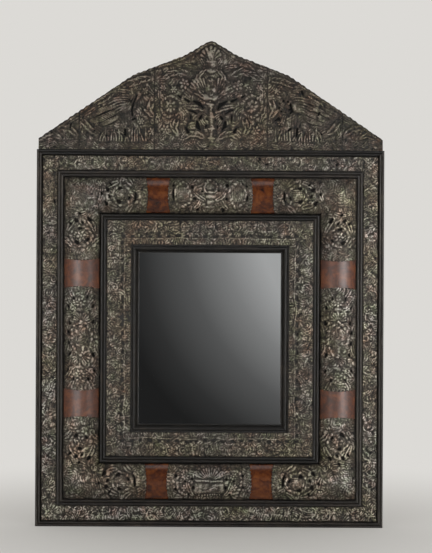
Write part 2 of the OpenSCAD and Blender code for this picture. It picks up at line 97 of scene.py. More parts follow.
# %% [markdown]
# ## Drawing the ornament as heights
# The real sheets are repousse: the pattern is hammered up from behind over pitch, and then lined from the
# front. A maker thinks of it as a height over each point of the sheet, so it is drawn that way: a grid of
# heights, and a few tools that raise a ridge, a dome or a row of beads on it, or cut a hole. Each tool
# keeps the greater height where two shapes meet, as metal does. Sculpting each leaf as its own mesh would
# leave seams that a single sheet hasn't.

# %% Make the drawing board for a sheet
# The step of the grid, and a distance that stands for metal far from any edge
PITCH = 0.8
FAR = 60.0


class Relief:
    """Heights in mm on an even grid over a face, and the distance to the nearest edge of the metal."""

    def __init__(self, half_w, low, high):
        self.x = np.linspace(-half_w, half_w, 2 * round(half_w / PITCH) + 1)
        self.z = np.linspace(low, high, round((high - low) / PITCH) + 1)
        self.height = np.zeros((len(self.z), len(self.x)))
        self.metal = np.full_like(self.height, FAR)

    def window(self, path, reach):
        """The part of the grid round a path, with the x and z of its points."""
        low, high = path.min(0) - reach, path.max(0) + reach
        cols = slice(*np.searchsorted(self.x, (low[0], high[0])))
        rows = slice(*np.searchsorted(self.z, (low[1], high[1])))
        return (rows, cols), self.x[None, cols], self.z[rows, None]

    def read(self, field, x, z):
        """A field's values at any points, blended from the four nearest grid points."""
        col = np.clip((x - self.x[0]) / (self.x[1] - self.x[0]), 0, len(self.x) - 1.001)
        row = np.clip((z - self.z[0]) / (self.z[1] - self.z[0]), 0, len(self.z) - 1.001)
        left, low = col.astype(int), row.astype(int)
        across, up = col - left, row - low
        below = field[low, left] * (1 - across) + field[low, left + 1] * across
        above = field[low + 1, left] * (1 - across) + field[low + 1, left + 1] * across
        return below * (1 - up) + above * up

    def fold(self, upward=False):
        """Repeats the ornament on the other half, as a maker pricks a folded drawing through."""
        axis = 0 if upward else 1
        self.height = np.maximum(self.height, np.flip(self.height, axis))
        self.metal = np.minimum(self.metal, np.flip(self.metal, axis))


face = Relief(HALF_W, -HALF_H, HALF_H)
crest = Relief(HALF_W, -2.0, 254.0)
print("drawing boards:", face.height.shape, "and", crest.height.shape, "points")


# %% Make the paths that the ornament follows
def sweep(x, z, heading, length, curl=0.0, tighten=0.0, n=14):
    """A path that leaves a point one way and turns as it goes. A tightening one ends in a scroll."""
    weight = 1 + tighten * (np.arange(n) / n) ** 2
    angle = math.radians(heading) + math.radians(curl) * np.cumsum(weight) / weight.sum()
    steps = length / n * np.stack([np.cos(angle), np.sin(angle)], 1)
    return np.array([x, z]) + np.vstack([[0, 0], np.cumsum(steps, 0)])


def circle(x, z, across, up=None, n=28):
    """A closed round or oval path."""
    angle = np.linspace(0, 2 * math.pi, n + 1)
    return np.stack([x + across * np.cos(angle), z + (up or across) * np.sin(angle)], 1)


def along(path, widths):
    """The path as an array, with a half width for each of its points, spread from a few."""
    path = np.asarray(path, float)
    widths = np.atleast_1d(np.asarray(widths, float))
    spread = np.interp(np.linspace(0, 1, len(path)), np.linspace(0, 1, len(widths)), widths)
    return path, spread


def gaps(path, widths, x, z):
    """How far grid points lie from each length of a path, and the path's half width there."""
    start, run = path[:-1, :, None, None], np.diff(path, axis=0)[:, :, None, None]
    dx, dz = x[None] - start[:, 0], z[None] - start[:, 1]
    share = np.clip((dx * run[:, 0] + dz * run[:, 1]) / (run ** 2).sum(1), 0, 1)
    gap = np.hypot(dx - share * run[:, 0], dz - share * run[:, 1])
    return gap, widths[:-1, None, None] + share * np.diff(widths)[:, None, None]


print("a sweep 10 mm long that turns by 90 degrees ends at", sweep(0, 0, 0, 10, 90)[-1].round(2))


# %% Make the hammering tools
def ridge(sheet, path, widths, rise):
    """Raises a rounded ridge along a path. Where it is narrow it is also lower."""
    path, widths = along(path, widths)
    spot, x, z = sheet.window(path, widths.max())
    if sheet.height[spot].size:
        gap, width = gaps(path, widths, x, z)
        bulge = np.sqrt(width / widths.max()) * np.clip(1 - (gap / width) ** 2, 0, 1) ** 0.7
        sheet.height[spot] = np.maximum(sheet.height[spot], rise * bulge.max(0))


def dome(sheet, x, z, across, up, rise, turn=0.0):
    """Raises a round or oval dome."""
    spot, grid_x, grid_z = sheet.window(np.array([[x, z]]), max(across, up))
    cos, sin = math.cos(math.radians(turn)), math.sin(math.radians(turn))
    dx, dz = grid_x - x, grid_z - z
    out = ((dx * cos + dz * sin) / across) ** 2 + ((dz * cos - dx * sin) / up) ** 2
    sheet.height[spot] = np.maximum(sheet.height[spot], rise * np.clip(1 - out, 0, 1) ** 0.6)


def groove(sheet, path, widths, depth):
    """Lines the sheet from the front."""
    path, widths = along(path, widths)
    spot, x, z = sheet.window(path, widths.max())
    if sheet.height[spot].size:
        gap, width = gaps(path, widths, x, z)
        sheet.height[spot] -= depth * np.clip(1 - (gap / width) ** 2, 0, 1).max(0)


def pierce(sheet, path, widths):
    """Cuts a slit along a path, or a hole where the path is short."""
    path, widths = along(path, widths)
    spot, x, z = sheet.window(path, widths.max() + 5)
    if sheet.metal[spot].size:
        gap, width = gaps(path, widths, x, z)
        sheet.metal[spot] = np.minimum(sheet.metal[spot], (gap - width).min(0))


def hole(sheet, x, z, r):
    """Cuts a round hole."""
    pierce(sheet, [(x - 0.1, z), (x + 0.1, z)], r)


def beads(sheet, start, stop, spacing, r, rise):
    """A straight row of beads."""
    start, stop = np.array(start, float), np.array(stop, float)
    count = max(1, round(np.linalg.norm(stop - start) / spacing))
    for share in np.arange(count + 1) / count:
        x, z = start + (stop - start) * share
        dome(sheet, x, z, r, r, rise)


print("hammering tools: ridge, dome, groove, pierce, hole, beads")

# %% [markdown]
# ## The maker's motifs
# Such frames repeat a few motifs that every workshop of the time used: the acanthus leaf, the scroll, the
# flower, the shell and the cartouche. Each is a short function over the hammering tools, so that all the
# plaques can share them.

# %% Make the leaf, the scroll, the flower and the shell
def fine(path, n=12):
    """A path of a few points, with its widths if it has them, spread to even steps."""
    path = np.asarray(path, float)
    reach = np.concatenate([[0], np.cumsum(np.linalg.norm(np.diff(path[:, :2], axis=0), axis=1))])
    steps = np.linspace(0, reach[-1], n)
    return np.stack([np.interp(steps, reach, column) for column in path.T], 1)


def leaf_along(sheet, spine, half, rise=2.6, lobes=4):
    """An acanthus leaf on a path: a low body, with fingers that leave its midrib and curl forward."""
    spine, half = along(spine, half)
    ridge(sheet, spine, half, 0.6 * rise)
    for i in range(lobes):
        at = round((i + 0.3) / lobes * (len(spine) - 2))
        run = spine[at + 1] - spine[at]
        way = math.degrees(math.atan2(run[1], run[0]))
        for hand in (-1, 1):
            finger = sweep(*spine[at], way + 58 * hand, 1.4 * half[at] + 1.5, -62 * hand, n=6)
            ridge(sheet, finger, (1.2, 2.1, 1.6), rise * (0.9 + 0.14 * math.sin(3 * i + spine[0, 0])))
    groove(sheet, spine[1:-1], (0.7, 1.1, 0.5), 0.3 * rise)


def leaf(sheet, x, z, heading, length, width, curl=0.0, rise=2.6, lobes=4):
    """An acanthus leaf from a point in one direction."""
    half = (0.3 * width, 0.52 * width, 0.42 * width, 0.14 * width)
    leaf_along(sheet, sweep(x, z, heading, length, curl), half, rise, max(lobes, round(length / 4.6)))


def scroll(sheet, x, z, heading, length, hand, thick=1.9, rise=2.6, turns=1.15):
    """A stem that winds up into a scroll with an eye."""
    path = sweep(x, z, heading, length, 360 * turns * hand, 3.0, 26)
    ridge(sheet, path, (0.8 * thick, 1.3 * thick, 1.0 * thick), rise)
    dome(sheet, *path[-1], 1.7 * thick, 1.7 * thick, 1.1 * rise)


def flower(sheet, x, z, r, petals=6, rise=2.8, turn=0.0):
    """An open flower with round petals and a boss."""
    for k in range(petals):
        angle = turn + 360 * k / petals
        out_x, out_z = math.cos(math.radians(angle)), math.sin(math.radians(angle))
        dome(sheet, x + 0.6 * r * out_x, z + 0.6 * r * out_z, 0.46 * r, 0.32 * r, 0.85 * rise, angle)
    dome(sheet, x, z, 0.9 * r, 0.9 * r, 0.45 * rise)
    dome(sheet, x, z, 0.3 * r, 0.3 * r, rise)


def shell(sheet, x, z, heading, r, spread, ribs, rise=2.8, start=0.2):
    """A fan of ribs that widen towards round ends."""
    for k in range(ribs):
        share = k / (ribs - 1) - 0.5
        angle = math.radians(heading + spread * share)
        reach = r * (1 - 0.25 * abs(share))
        width = 0.47 * math.radians(spread) / (ribs - 1) * reach
        out = np.array([math.cos(angle), math.sin(angle)])
        path = np.array([x, z]) + np.outer((start * r, 0.6 * r, reach - width), out)
        ridge(sheet, path, (0.3 * width, 0.7 * width, width), rise)
    dome(sheet, x, z, 0.2 * r, 0.2 * r, 1.1 * rise)


print("first motifs: leaf, scroll, flower, shell")


# %% Make the garland and the wreath
def garland(sheet, x, z, across, up, lobes, rise):
    """A ring of leaf lobes, each turned a little its own way."""
    ridge(sheet, circle(x, z, across, up), 5.5, 0.55 * rise)
    for k in range(lobes):
        way = 2 * math.pi * k / lobes
        lean = 55 + 28 * math.sin(2.1 * k + x)
        out = 1 + 0.07 * math.sin(1.7 * k + z)
        dome(sheet, x + out * across * math.cos(way), z + out * up * math.sin(way), 5.4, 3.2,
             rise * (0.9 + 0.2 * math.sin(3.1 * k + x)), math.degrees(way) + lean)


def hatched_dome(sheet, x, z, across, up, rise):
    """An oval dome with lines raised along it."""
    dome(sheet, x, z, across, up, 0.7 * rise)
    for k in range(-3, 4):
        line = sweep(x - 0.75 * across, z + 0.25 * k * up, 5 * k, 1.5 * across, -10 * k, n=5)
        ridge(sheet, line, (0.8, 1.6, 0.8), 0.85 * rise)


# The angle and the half width of each opening in a wreath
WREATH_HOLES = ((35, 3.4), (165, 2.4), (262, 4.2))


def wreath(sheet, x, z, r, rise=2.6, turn=0.0, hatched=False):
    """A garland that winds round a flower or a dome, with the ground pierced between them."""
    garland(sheet, x, z, r - 4, r - 5, 14, rise)
    if hatched:
        hatched_dome(sheet, x, z, 0.52 * r, 0.6 * r, rise)
    else:
        flower(sheet, x, z, 0.46 * r, 6, rise, turn)
    for angle, hole_r in WREATH_HOLES:
        ends = [math.radians(turn + angle) + d for d in (-0.14, 0.14)]
        slit = [np.array([math.cos(a), math.sin(a)]) * 0.62 * r + (x, z) for a in ends]
        pierce(sheet, slit, (hole_r, 0.55 * hole_r))
    for k in range(3):
        start = math.radians(turn + 40 + 120 * k)
        root = (x + (r + 1) * math.cos(start), z + (r + 1) * math.sin(start))
        scroll(sheet, *root, turn + 10 + 120 * k, 26, 1, 2.4, rise)


print("motifs made of these: garland, hatched dome, wreath")

# %% [markdown]
# ## The ornament of the frame
# The four corners are alike, so their ornament is drawn once, in the upper right quarter, and folded over
# twice. The middles of the four sides differ on the real mirror, so those are drawn after the folding.

# %% Draw the outer band as a running scroll
def turned(x, z, heading, dx, dz):
    """The point that lies dx ahead of and dz to the left of a point, for a heading."""
    cos, sin = math.cos(math.radians(heading)), math.sin(math.radians(heading))
    return x + dx * cos - dz * sin, z + dx * sin + dz * cos


def outer_bay(sheet, x, z, heading, hand, size=11.5, rise=2.2):
    """One bay of the running scroll: a scroll round a flower, with leaves that fill both corners."""
    root = turned(x, z, heading, -1.25 * size, -0.85 * size * hand)
    scroll(sheet, *root, heading + 25 * hand, 5.0 * size, hand, 0.22 * size, rise, 1.0)
    flower(sheet, *turned(x, z, heading, 0.05 * size, 0.1 * size * hand), 0.62 * size, 6, 1.15 * rise)
    for lean, side in ((40, 1), (150, 1), (-40, -1)):
        ahead = 0.95 * size * (1 if lean < 90 else -1)
        spot = turned(x, z, heading, ahead, 0.45 * size * side * hand)
        leaf(sheet, *spot, heading + lean * hand, 0.95 * size, 0.6 * size, -40 * hand, 0.95 * rise, 3)


def run_bays(sheet, draw_bay, s, starts, short_of, spacing):
    """Repeats a bay over the top and the side of the quarter, turned over each time."""
    hand = 1
    for heading, start, reach in ((0, starts[0], HALF_W), (90, starts[1], HALF_H)):
        for mid in np.arange(start, reach - short_of, spacing):
            spot = (HALF_W - s, mid) if heading else (mid, HALF_H - s)
            draw_bay(sheet, *spot, heading, hand)
            hand = -hand


OUTER_BAY = 33.5
run_bays(face, outer_bay, OUTER_BAND_MID, (16.0, 17.0), OUTER_BAND[1] + 14, OUTER_BAY)
corner = (HALF_W - OUTER_BAND_MID, HALF_H - OUTER_BAND_MID)
flower(face, *corner, 12, 8, 3.0)
for heading in (45, 135, 225, 315):
    leaf(face, *turned(*corner, heading, 10, 0), heading, 12, 9, 0, 2.4, 3)
print("outer band: bays of", OUTER_BAY, "mm")

# %% [markdown]
# The inner band is finer: small scrolls, a line, and a row of leaf tips next to the moulding of the glass.
# Its rows are the work of one punch struck again and again, so one function repeats a stamp round the
# quarter.

# %% Draw the inner band as small scrolls, a row of pierced dots, a line and a row of leaf tips
# How far inward each of them lies
INNER_SCROLL = 178.5
INNER_DOTS = 199.0
INNER_LINE = 204.5
INNER_TIPS = 213.0


def inner_bay(sheet, x, z, heading, hand):
    """One bay of the inner band: a small scroll and a flower side by side."""
    scroll(sheet, *turned(x, z, heading, -9, -8 * hand), heading + 35 * hand, 40, hand, 2.2, 2.3, 1.0)
    flower(sheet, *turned(x, z, heading, 13, 3 * hand), 7.0, 5, 2.1, 20)
    leaf(sheet, *turned(x, z, heading, 9, -9 * hand), heading + 20 * hand, 11, 6, -60 * hand, 2.1, 3)
    leaf(sheet, *turned(x, z, heading, -6, 10 * hand), heading + 170 * hand, 11, 6, 60 * hand, 2.1, 3)


def frame_line(sheet, s, width, rise):
    """A raised line round the quarter, at a distance inward."""
    x, z = HALF_W - s, HALF_H - s
    ridge(sheet, [(0, z), (x, z), (x, 0)], width, rise)


def frame_row(sheet, s, spacing, stamp):
    """Repeats a stamp round the quarter at a distance inward. It is told the place and the way inward."""
    x, z = HALF_W - s, HALF_H - s
    for mid in np.arange(spacing / 2, x, spacing):
        stamp(sheet, mid, z, -90)
    for mid in np.arange(spacing / 2, z, spacing):
        stamp(sheet, x, mid, 180)


def leaf_tip(sheet, x, z, heading):
    """A short tongue, as wide as the tip of a leaf."""
    path = [turned(x, z, heading, d, 0) for d in (-5, 0, 6)]
    ridge(sheet, path, (1.2, 2.8, 2.0), 1.8)


def bead(sheet, x, z, heading):
    """A round bead, the same for every heading."""
    dome(sheet, x, z, 2.2, 2.2, 1.2)


def dot(sheet, x, z, heading):
    """A pierced dot, drawn out crossways a little more or less from one to the next."""
    half = 1.7 + 0.9 * math.sin(1.9 * (x + z))
    pierce(sheet, [turned(x, z, heading, 0, d) for d in (-half, half)], 2.0)


INNER_BAY = 29.0
run_bays(face, inner_bay, INNER_SCROLL, (14.0, 14.5), INNER_BAND[0] + 10, INNER_BAY)
frame_line(face, INNER_LINE, width=1.9, rise=2.2)
frame_row(face, INNER_TIPS, spacing=6.6, stamp=leaf_tip)
frame_row(face, INNER_DOTS, spacing=21.0, stamp=dot)
BEAD_INSET = 5.0
for bead_line in (OUTER_BAND[0] + BEAD_INSET, OUTER_BAND[1] - BEAD_INSET):
    frame_row(face, bead_line, spacing=5.4, stamp=bead)
print("inner band: line at", INNER_LINE, "mm inward, leaf tips at", INNER_TIPS)

# %% [markdown]
# A corner plaque has a wreath on each arm, a border of leaf tips at both ends, and a fan over the corner.
# Its arms differ in little but their length, so one function draws both and is told which way the arm
# points.

# %% Draw one arm of a corner plaque
# How far apart the leaf tips of a plaque's end stand, and how fast they fall back from its middle
TIP_PITCH = 7.8
TIP_BOW = 0.0036


def plaque_end(sheet, x, z, heading, reach):
    """The border of leaf tips across a plaque's end. The heading points out of the plaque."""
    for k, dz in enumerate(np.arange(-35, 36, TIP_PITCH)):
        tip = turned(x, z, heading, -TIP_BOW * dz * dz, dz)
        lean = 1.6 * math.sin(2.4 * k + x)
        spine = [turned(*tip, heading, -reach, -lean), turned(*tip, heading, -0.5 * reach, 0), tip]
        ridge(sheet, spine, (2.4, 4.1, 3.4), 1.5)
    cross = [turned(x, z, heading, -reach - 3 - TIP_BOW * dz * dz, dz) for dz in np.arange(-38, 39, 4)]
    ridge(sheet, cross, 2.0, 1.2)


def corner_arm(sheet, wreath_at, end_at, heading, hand):
    """The ornament from the tortoiseshell to the fan. The heading points from the end towards the corner."""
    wreath(sheet, *wreath_at, 27, 3.2, heading + 40 * hand, heading == 0)
    plaque_end(sheet, *end_at, heading + 180, 11)
    if heading == 0:
        bow = (-0.7, -0.3, 0.1, 0.3)
        slit = [turned(*wreath_at, heading, -31 * math.cos(a), 31 * math.sin(a)) for a in bow]
        pierce(sheet, slit, (0.6, 1.8, 2.0, 0.6))

    def beside(ahead, aside):
        """The point that lies so far ahead of the wreath's middle and to its left."""
        return turned(*wreath_at, heading, ahead, aside)

    for side in (-1, 1):
        leaf(sheet, *beside(-24, 22 * side), heading + 25 * side, 24, 15, 30 * side, 3.0)
        leaf(sheet, *beside(8, 29 * side), heading - 5 * side, 30, 15, -35 * side, 3.0)
        scroll(sheet, *beside(26, 8 * side), heading + 30 * side, 38, -side, 3.0, 2.2)
        flower(sheet, *beside(-34, 30 * side), 8.5, 5, 1.9)
    for dx, dz, wide, long in ((32, -2, 2.4, 4), (37, 12, 3.8, 4), (40, -17, 3.4, 7), (52, 4, 2.8, 3),
                               (30, 24, 2.0, 6)):
        x, z = beside(dx, dz * hand)
        half_x, half_z = 0.3 * long, 0.4 * long
        pierce(sheet, [(x - half_x, z - half_z), (x + half_x, z + half_z)], (wide, 0.5 * wide))


MID_X, MID_Z = HALF_W - CUSHION_MID, HALF_H - CUSHION_MID
WREATH_X, WREATH_Z = 199.8, 234.5
corner_arm(face, (WREATH_X, MID_Z), (SHORT_PANEL[1] - END_BOW, MID_Z), 0, 1)
corner_arm(face, (MID_X, WREATH_Z), (MID_X, LONG_PANEL[1] - END_BOW), 90, -1)
print("wreaths at", (WREATH_X, MID_Z), "and", (MID_X, WREATH_Z))

# %% Draw the fan over the corner, and fold the quarter over
FAN_BACK = 21
shell(face, MID_X - FAN_BACK, MID_Z - FAN_BACK, 45, 60, 124, 19, 1.3, 0.25)
shell(face, MID_X + FAN_BACK, MID_Z + FAN_BACK, 225, 20, 200, 9, 1.6, 0.25)
dome(face, MID_X + 25, MID_Z + 25, 8, 12, 2.0, -45)
for side in (-1, 1):
    leaf(face, *turned(MID_X, MID_Z, 45, -36, 16 * side), 45 + 75 * side, 30, 12, -30 * side, 2.8)
    leaf(face, *turned(MID_X, MID_Z, 45, 26, 24 * side), 45 + 100 * side, 26, 11, -20 * side, 2.8)
    flower(face, *turned(MID_X, MID_Z, 45, -10, 46 * side), 7.5, 6, 3.0)
scroll(face, *turned(MID_X, MID_Z, 45, -42, -8), 70, 34, 1, 1.9, 2.8)
face.fold()
face.fold(upward=True)
print("corner fans folded over, highest ridge", round(face.height.max(), 2), "mm")

# %% [markdown]
# The centre plaques of the top and the bottom have drawings of their own, and those of the sides share one.
# The halves of each are nearly alike, so a loop over both sides draws them.

# %% Draw the middle of the top: an urn between two oval medallions
TOP = MID_Z
MEDALLION_X = 62
for side in (-1, 1):
    middle = MEDALLION_X * side
    dome(face, middle, TOP, 15, 24, 1.7)
    garland(face, middle, TOP, 18, 27, 16, 3.2)
    for k in range(-3, 4):
        ridge(face, sweep(middle + 3.4 * k, TOP - 16, 90 - 3 * k, 32, 3 * k, n=5), (1.3, 2.1, 1.3), 2.2)
    outer_part = slice(26, 31) if side > 0 else slice(12, 17)
    pierce(face, circle(middle, TOP, 23, 32)[outer_part], (0.8, 2.4, 0.8))
    plaque_end(face, (SHORT_PANEL[0] + END_BOW) * side, TOP, 90 - 90 * side, 9)
    scroll(face, 8 * side, TOP + 6, 90 - 55 * side, 52, side, 2.1, 3.2)
    scroll(face, 40 * side, TOP + 30, 90 + 80 * side, 44, -side, 2.0, 3.0)
    leaf(face, 9 * side, TOP - 12, 90 - 75 * side, 30, 12, 40 * side, 3.0)
    leaf(face, 40 * side, TOP - 32, 90 + 60 * side, 26, 10, -40 * side, 2.8)
    flower(face, 26 * side, TOP - 22, 7, 6, 2.8)
    flower(face, 44 * side, TOP + 9, 5.5, 5, 2.6)
    for x, z, r in ((39, 20, 3.6), (36, -8, 3.2), (29, -32, 2.6), (18, 10, 2.2), (84, 20, 2.6)):
        hole(face, x * side, TOP + z, r)
for z, across, up, rise in ((-26, 16, 4, 2.6), (-15, 10, 9, 3.2), (-3, 14, 7, 3.4), (7, 9, 4, 3.0),
                            (20, 11, 9, 3.4)):
    dome(face, 0, TOP + z, across, up, rise)
shell(face, 0, TOP + 16, 90, 20, 150, 7, 3.2)
print("top plaque drawn")

# %% Draw the middle of the bottom: a shell over an oblong cartouche
BOTTOM = -TOP
shell(face, 0, BOTTOM + 4, 90, 33, 140, 11, 3.6, 0.25)
ridge(face, [(-26, BOTTOM - 12), (26, BOTTOM - 12)], 15, 3.4)
ribbon = [(x, BOTTOM - 12 + 3.6 * math.sin(x / 7.5)) for x in np.arange(-27, 28, 2.5)]
groove(face, ribbon, (0.8, 1.6, 0.8), 1.0)
ridge(face, [(-30, BOTTOM + 4), (30, BOTTOM + 4)], 3.4, 3.2)
beads(face, (-27, BOTTOM + 4), (27, BOTTOM + 4), 6.0, 2.6, 4.6)
beads(face, (-24, BOTTOM - 27), (24, BOTTOM - 27), 6.0, 2.4, 3.6)
for side in (-1, 1):
    flower(face, 55 * side, BOTTOM + 14, 10, 7, 3.2)
    flower(face, 56 * side, BOTTOM - 12, 9, 6, 3.0)
    garland(face, 57 * side, BOTTOM, 17, 27, 16, 3.2)
    leaf(face, 33 * side, BOTTOM - 30, 90 - 60 * side, 34, 12, 50 * side, 3.0)
    leaf(face, 24 * side, BOTTOM + 12, 90 - 40 * side, 26, 11, -50 * side, 3.0)
    scroll(face, 36 * side, BOTTOM + 10, 90 - 30 * side, 40, side, 2.0, 3.0)
    scroll(face, 12 * side, BOTTOM - 26, 90 - 100 * side, 34, -side, 1.8, 2.8)
    plaque_end(face, (SHORT_PANEL[0] + END_BOW) * side, BOTTOM, 90 - 90 * side, 9)
    for x, z, r in ((39, -10, 3.2), (40, 8, 2.6), (76, 14, 3.0), (78, -14, 2.6), (56, 2, 2.4),
                    (47, -26, 2.4)):
        hole(face, x * side, BOTTOM + z, r)
print("bottom plaque drawn")

# %% Draw the middles of the sides: a cartouche between shell tufts
def side_middle(sheet, x, hand):
    """A large soft oval between shells, with scrolls and pierced holes round it."""
    dome(sheet, x, 0, 19, 33, 1.6)
    garland(sheet, x, 0, 23, 37, 22, 3.0)
    for k in range(10):
        dome(sheet, x + 9 * math.sin(2.4 * k), 27 - 6.0 * k, 6.5, 4.2, 2.2, 50 * k)
    for up in (-1, 1):
        shell(sheet, x, 40 * up, 90 * up, 24, 150, 9, 3.0, 0.25)
        dome(sheet, x, 68 * up, 12, 6, 2.8)
        flower(sheet, x, 84 * up, 12, 7, 2.8, 15)
        plaque_end(sheet, x, (LONG_PANEL[0] + END_BOW) * up, 90 * up, 11)
        for side in (-1, 1):
            scroll(sheet, x + 10 * side, 44 * up, (90 - 60 * side) * up, 56, side * up, 3.0, 2.3)
            leaf(sheet, x + 8 * side, 66 * up, (90 - 65 * side) * up, 30, 14, 35 * side * up, 2.6)
            leaf(sheet, x + 33 * side, 10 * up, (90 + 12 * side) * up, 28, 12, -50 * side * up, 2.4)
            scroll(sheet, x + 32 * side, 66 * up, (90 - 10 * side) * up, 40, side * up, 2.2, 2.6)
            leaf(sheet, x + 14 * side, 94 * up, (90 - 40 * side) * up, 22, 13, 20 * side * up, 2.4)
            for dx, z, r in ((26, 36, 3.4), (27, 72, 2.8), (15, 92, 2.2)):
                pierce(sheet, [(x + dx * side, z * up), (x + (dx + 1.5) * side, (z + 4) * up)],
                       (r, 0.6 * r) if side == hand else (0.7 * r, 0.4 * r))
    for z in (14, -12):
        pierce(sheet, [(x - 29 * hand, z), (x - 30 * hand, z + 5)], (2.6, 1.2))


side_middle(face, -MID_X, 1)
side_middle(face, MID_X, -1)
# The outer band is pieced together, and its seams show low on both sides and at the bottom
SEAM_W, SEAM_DEPTH = 1.3, 2.4
for hand in (-1, 1):
    seam = [(hand * (HALF_W - OUTER_BAND[0]), -213), (hand * (HALF_W - OUTER_BAND[1]), -211)]
    groove(face, seam, SEAM_W, SEAM_DEPTH)
groove(face, [(-92, OUTER_BAND[0] - HALF_H), (-93, OUTER_BAND[1] - HALF_H)], SEAM_W, SEAM_DEPTH)
print("side plaques drawn")

# %% [markdown]
# ## The ornament of the crest
# The crest is a stem with a tulip at its heart, great leaves and a round rosette beside it, and a bird on
# each side in tall grass, with leaves tapering away to the ends. It is drawn on the right half and folded
# over.

# %% Work out the crest's outline, as in the solids
CREST_HALF_W, CREST_END_H, CREST_H, TIP_R = 396.5, 24.0, 250.0, 18.0
KNEE, HOLLOW = np.array([180.0, 171.0]), np.array([60.0, 217.0])
KNEE_R, HOLLOW_R = 120.0, 40.0
CREST_FOOT = 0.3
ARC_STEPS = 8


def round_corner(a, b, c, r):
    """The arc at corner b of a path from a through b to c."""
    u, v = (a - b) / np.linalg.norm(a - b), (c - b) / np.linalg.norm(c - b)
    half = math.acos(u @ v) / 2
    centre = b + r / math.sin(half) * (u + v) / np.linalg.norm(u + v)
    start, stop = b + r / math.tan(half) * u - centre, b + r / math.tan(half) * v - centre
    steps = [start + (stop - start) * i / ARC_STEPS for i in range(ARC_STEPS + 1)]
    return [centre + p * r / np.linalg.norm(p) for p in steps]


foot, tip = np.array([CREST_HALF_W, CREST_END_H]), np.array([0, CREST_H - TIP_R])
away = HOLLOW - tip
turn = math.atan2(away[1], away[0]) + math.acos(TIP_R / np.linalg.norm(away))
tangent = tip + TIP_R * np.array([math.cos(turn), math.sin(turn)])
tip_angles = np.linspace(turn, math.pi / 2, ARC_STEPS + 1)
tip_arc = [tip + TIP_R * np.array([math.cos(a), math.sin(a)]) for a in tip_angles]
knee_arc = round_corner(foot, KNEE, HOLLOW, KNEE_R)
hollow_arc = round_corner(KNEE, HOLLOW, tangent, HOLLOW_R)
slope = np.array([foot, *knee_arc, *hollow_arc, *tip_arc])


def crest_edge(x, z):
    """How far points lie inside the crest's outline, and negative outside."""
    x = np.abs(x)
    gap = np.full(np.broadcast(x, z).shape, FAR)
    for a, b in zip(slope[:-1], slope[1:]):
        run = b - a
        share = np.clip(((x - a[0]) * run[0] + (z - a[1]) * run[1]) / (run @ run), 0, 1)
        gap = np.minimum(gap, np.hypot(x - a[0] - share * run[0], z - a[1] - share * run[1]))
    top = np.interp(x, slope[::-1, 0], slope[::-1, 1])
    gap = np.where(z < top, gap, -gap)
    return np.minimum(np.minimum(gap, CREST_HALF_W - x), z - CREST_FOOT)


crest.edge = crest_edge(crest.x[None, :], crest.z[:, None])
ragged = 0.9 + 0.6 * np.sin(crest.x / 2.9) * np.sin(crest.x / 7.7 + 1) + 0.5 * np.sin(crest.x / 1.9 + 2)
crest.edge = crest.edge + np.where(crest.z[:, None] > CREST_END_H, ragged, 0)
print("crest outline:", len(slope), "points a side")

# %% Name the crest's main forms, as the solids have them
# Each is a path of points: distance from the middle, height above the foot, and half width
CREST_STEM = (
    [[0, 24, 7], [0, 38, 4.5], [0, 50, 9], [0, 64, 5], [0, 77, 9], [0, 92, 5.5], [0, 103, 10]],
    [[0, 128, 12], [0, 142, 17], [0, 156, 13]],
    [[0, 198, 13], [0, 209, 8], [0, 222, 12]],
)
CREST_LEAVES = (
    [[14, 119, 5], [28, 130, 6], [35, 150, 5.5], [29, 170, 5], [19, 182, 4]],
    [[14, 27, 5], [28, 34, 7], [44, 37, 6], [56, 32, 4]],
    [[14, 88, 4], [24, 95, 5], [36, 98, 4], [48, 100, 3]],
    [[46, 173, 7], [66, 180, 8], [88, 176, 7], [104, 167, 4]],
    [[78, 34, 5], [84, 48, 7], [79, 62, 4]],
    [[134, 163, 6], [158, 161, 8], [184, 152, 6]],
    [[222, 132, 6], [242, 119, 6], [258, 108, 4]],
    [[264, 35, 6], [279, 48, 8], [290, 60, 5]],
    [[309, 32, 6], [323, 45, 7], [338, 49, 4]],
    [[346, 27, 4], [358, 33, 5], [372, 30, 3]],
    [[133, 72, 6], [145, 88, 8], [139, 106, 5]],
)
CREST_FLOWERS = (
    (62, 151, 13), (86, 139, 8), (104, 47, 12), (138, 44, 9), (112, 143, 8), (162, 64, 8), (152, 136, 8))
CREST_BIRD = (
    [[178, 101, 9], [197, 98, 15], [214, 91, 11]],
    [[181, 108, 7], [173, 118, 6], [167, 129, 7]],
    [[206, 113, 4], [227, 116, 5], [248, 104, 4]],
    [[222, 100, 4], [246, 93, 5], [268, 81, 4]],
    [[222, 86, 5], [247, 75, 6], [274, 66, 4]],
    [[214, 76, 4], [233, 66, 5], [252, 60, 4]],
    [[189, 80, 3], [189, 56, 3]],
    [[202, 80, 3], [202, 56, 3]],
)
ROSETTE, ROSETTE_R, ROSETTE_RING_W, ROSETTE_HEART_R = (93, 100), 26, 5, 13
print("crest forms:", len(CREST_LEAVES), "leaves and", len(CREST_FLOWERS), "flowers beside the stem")

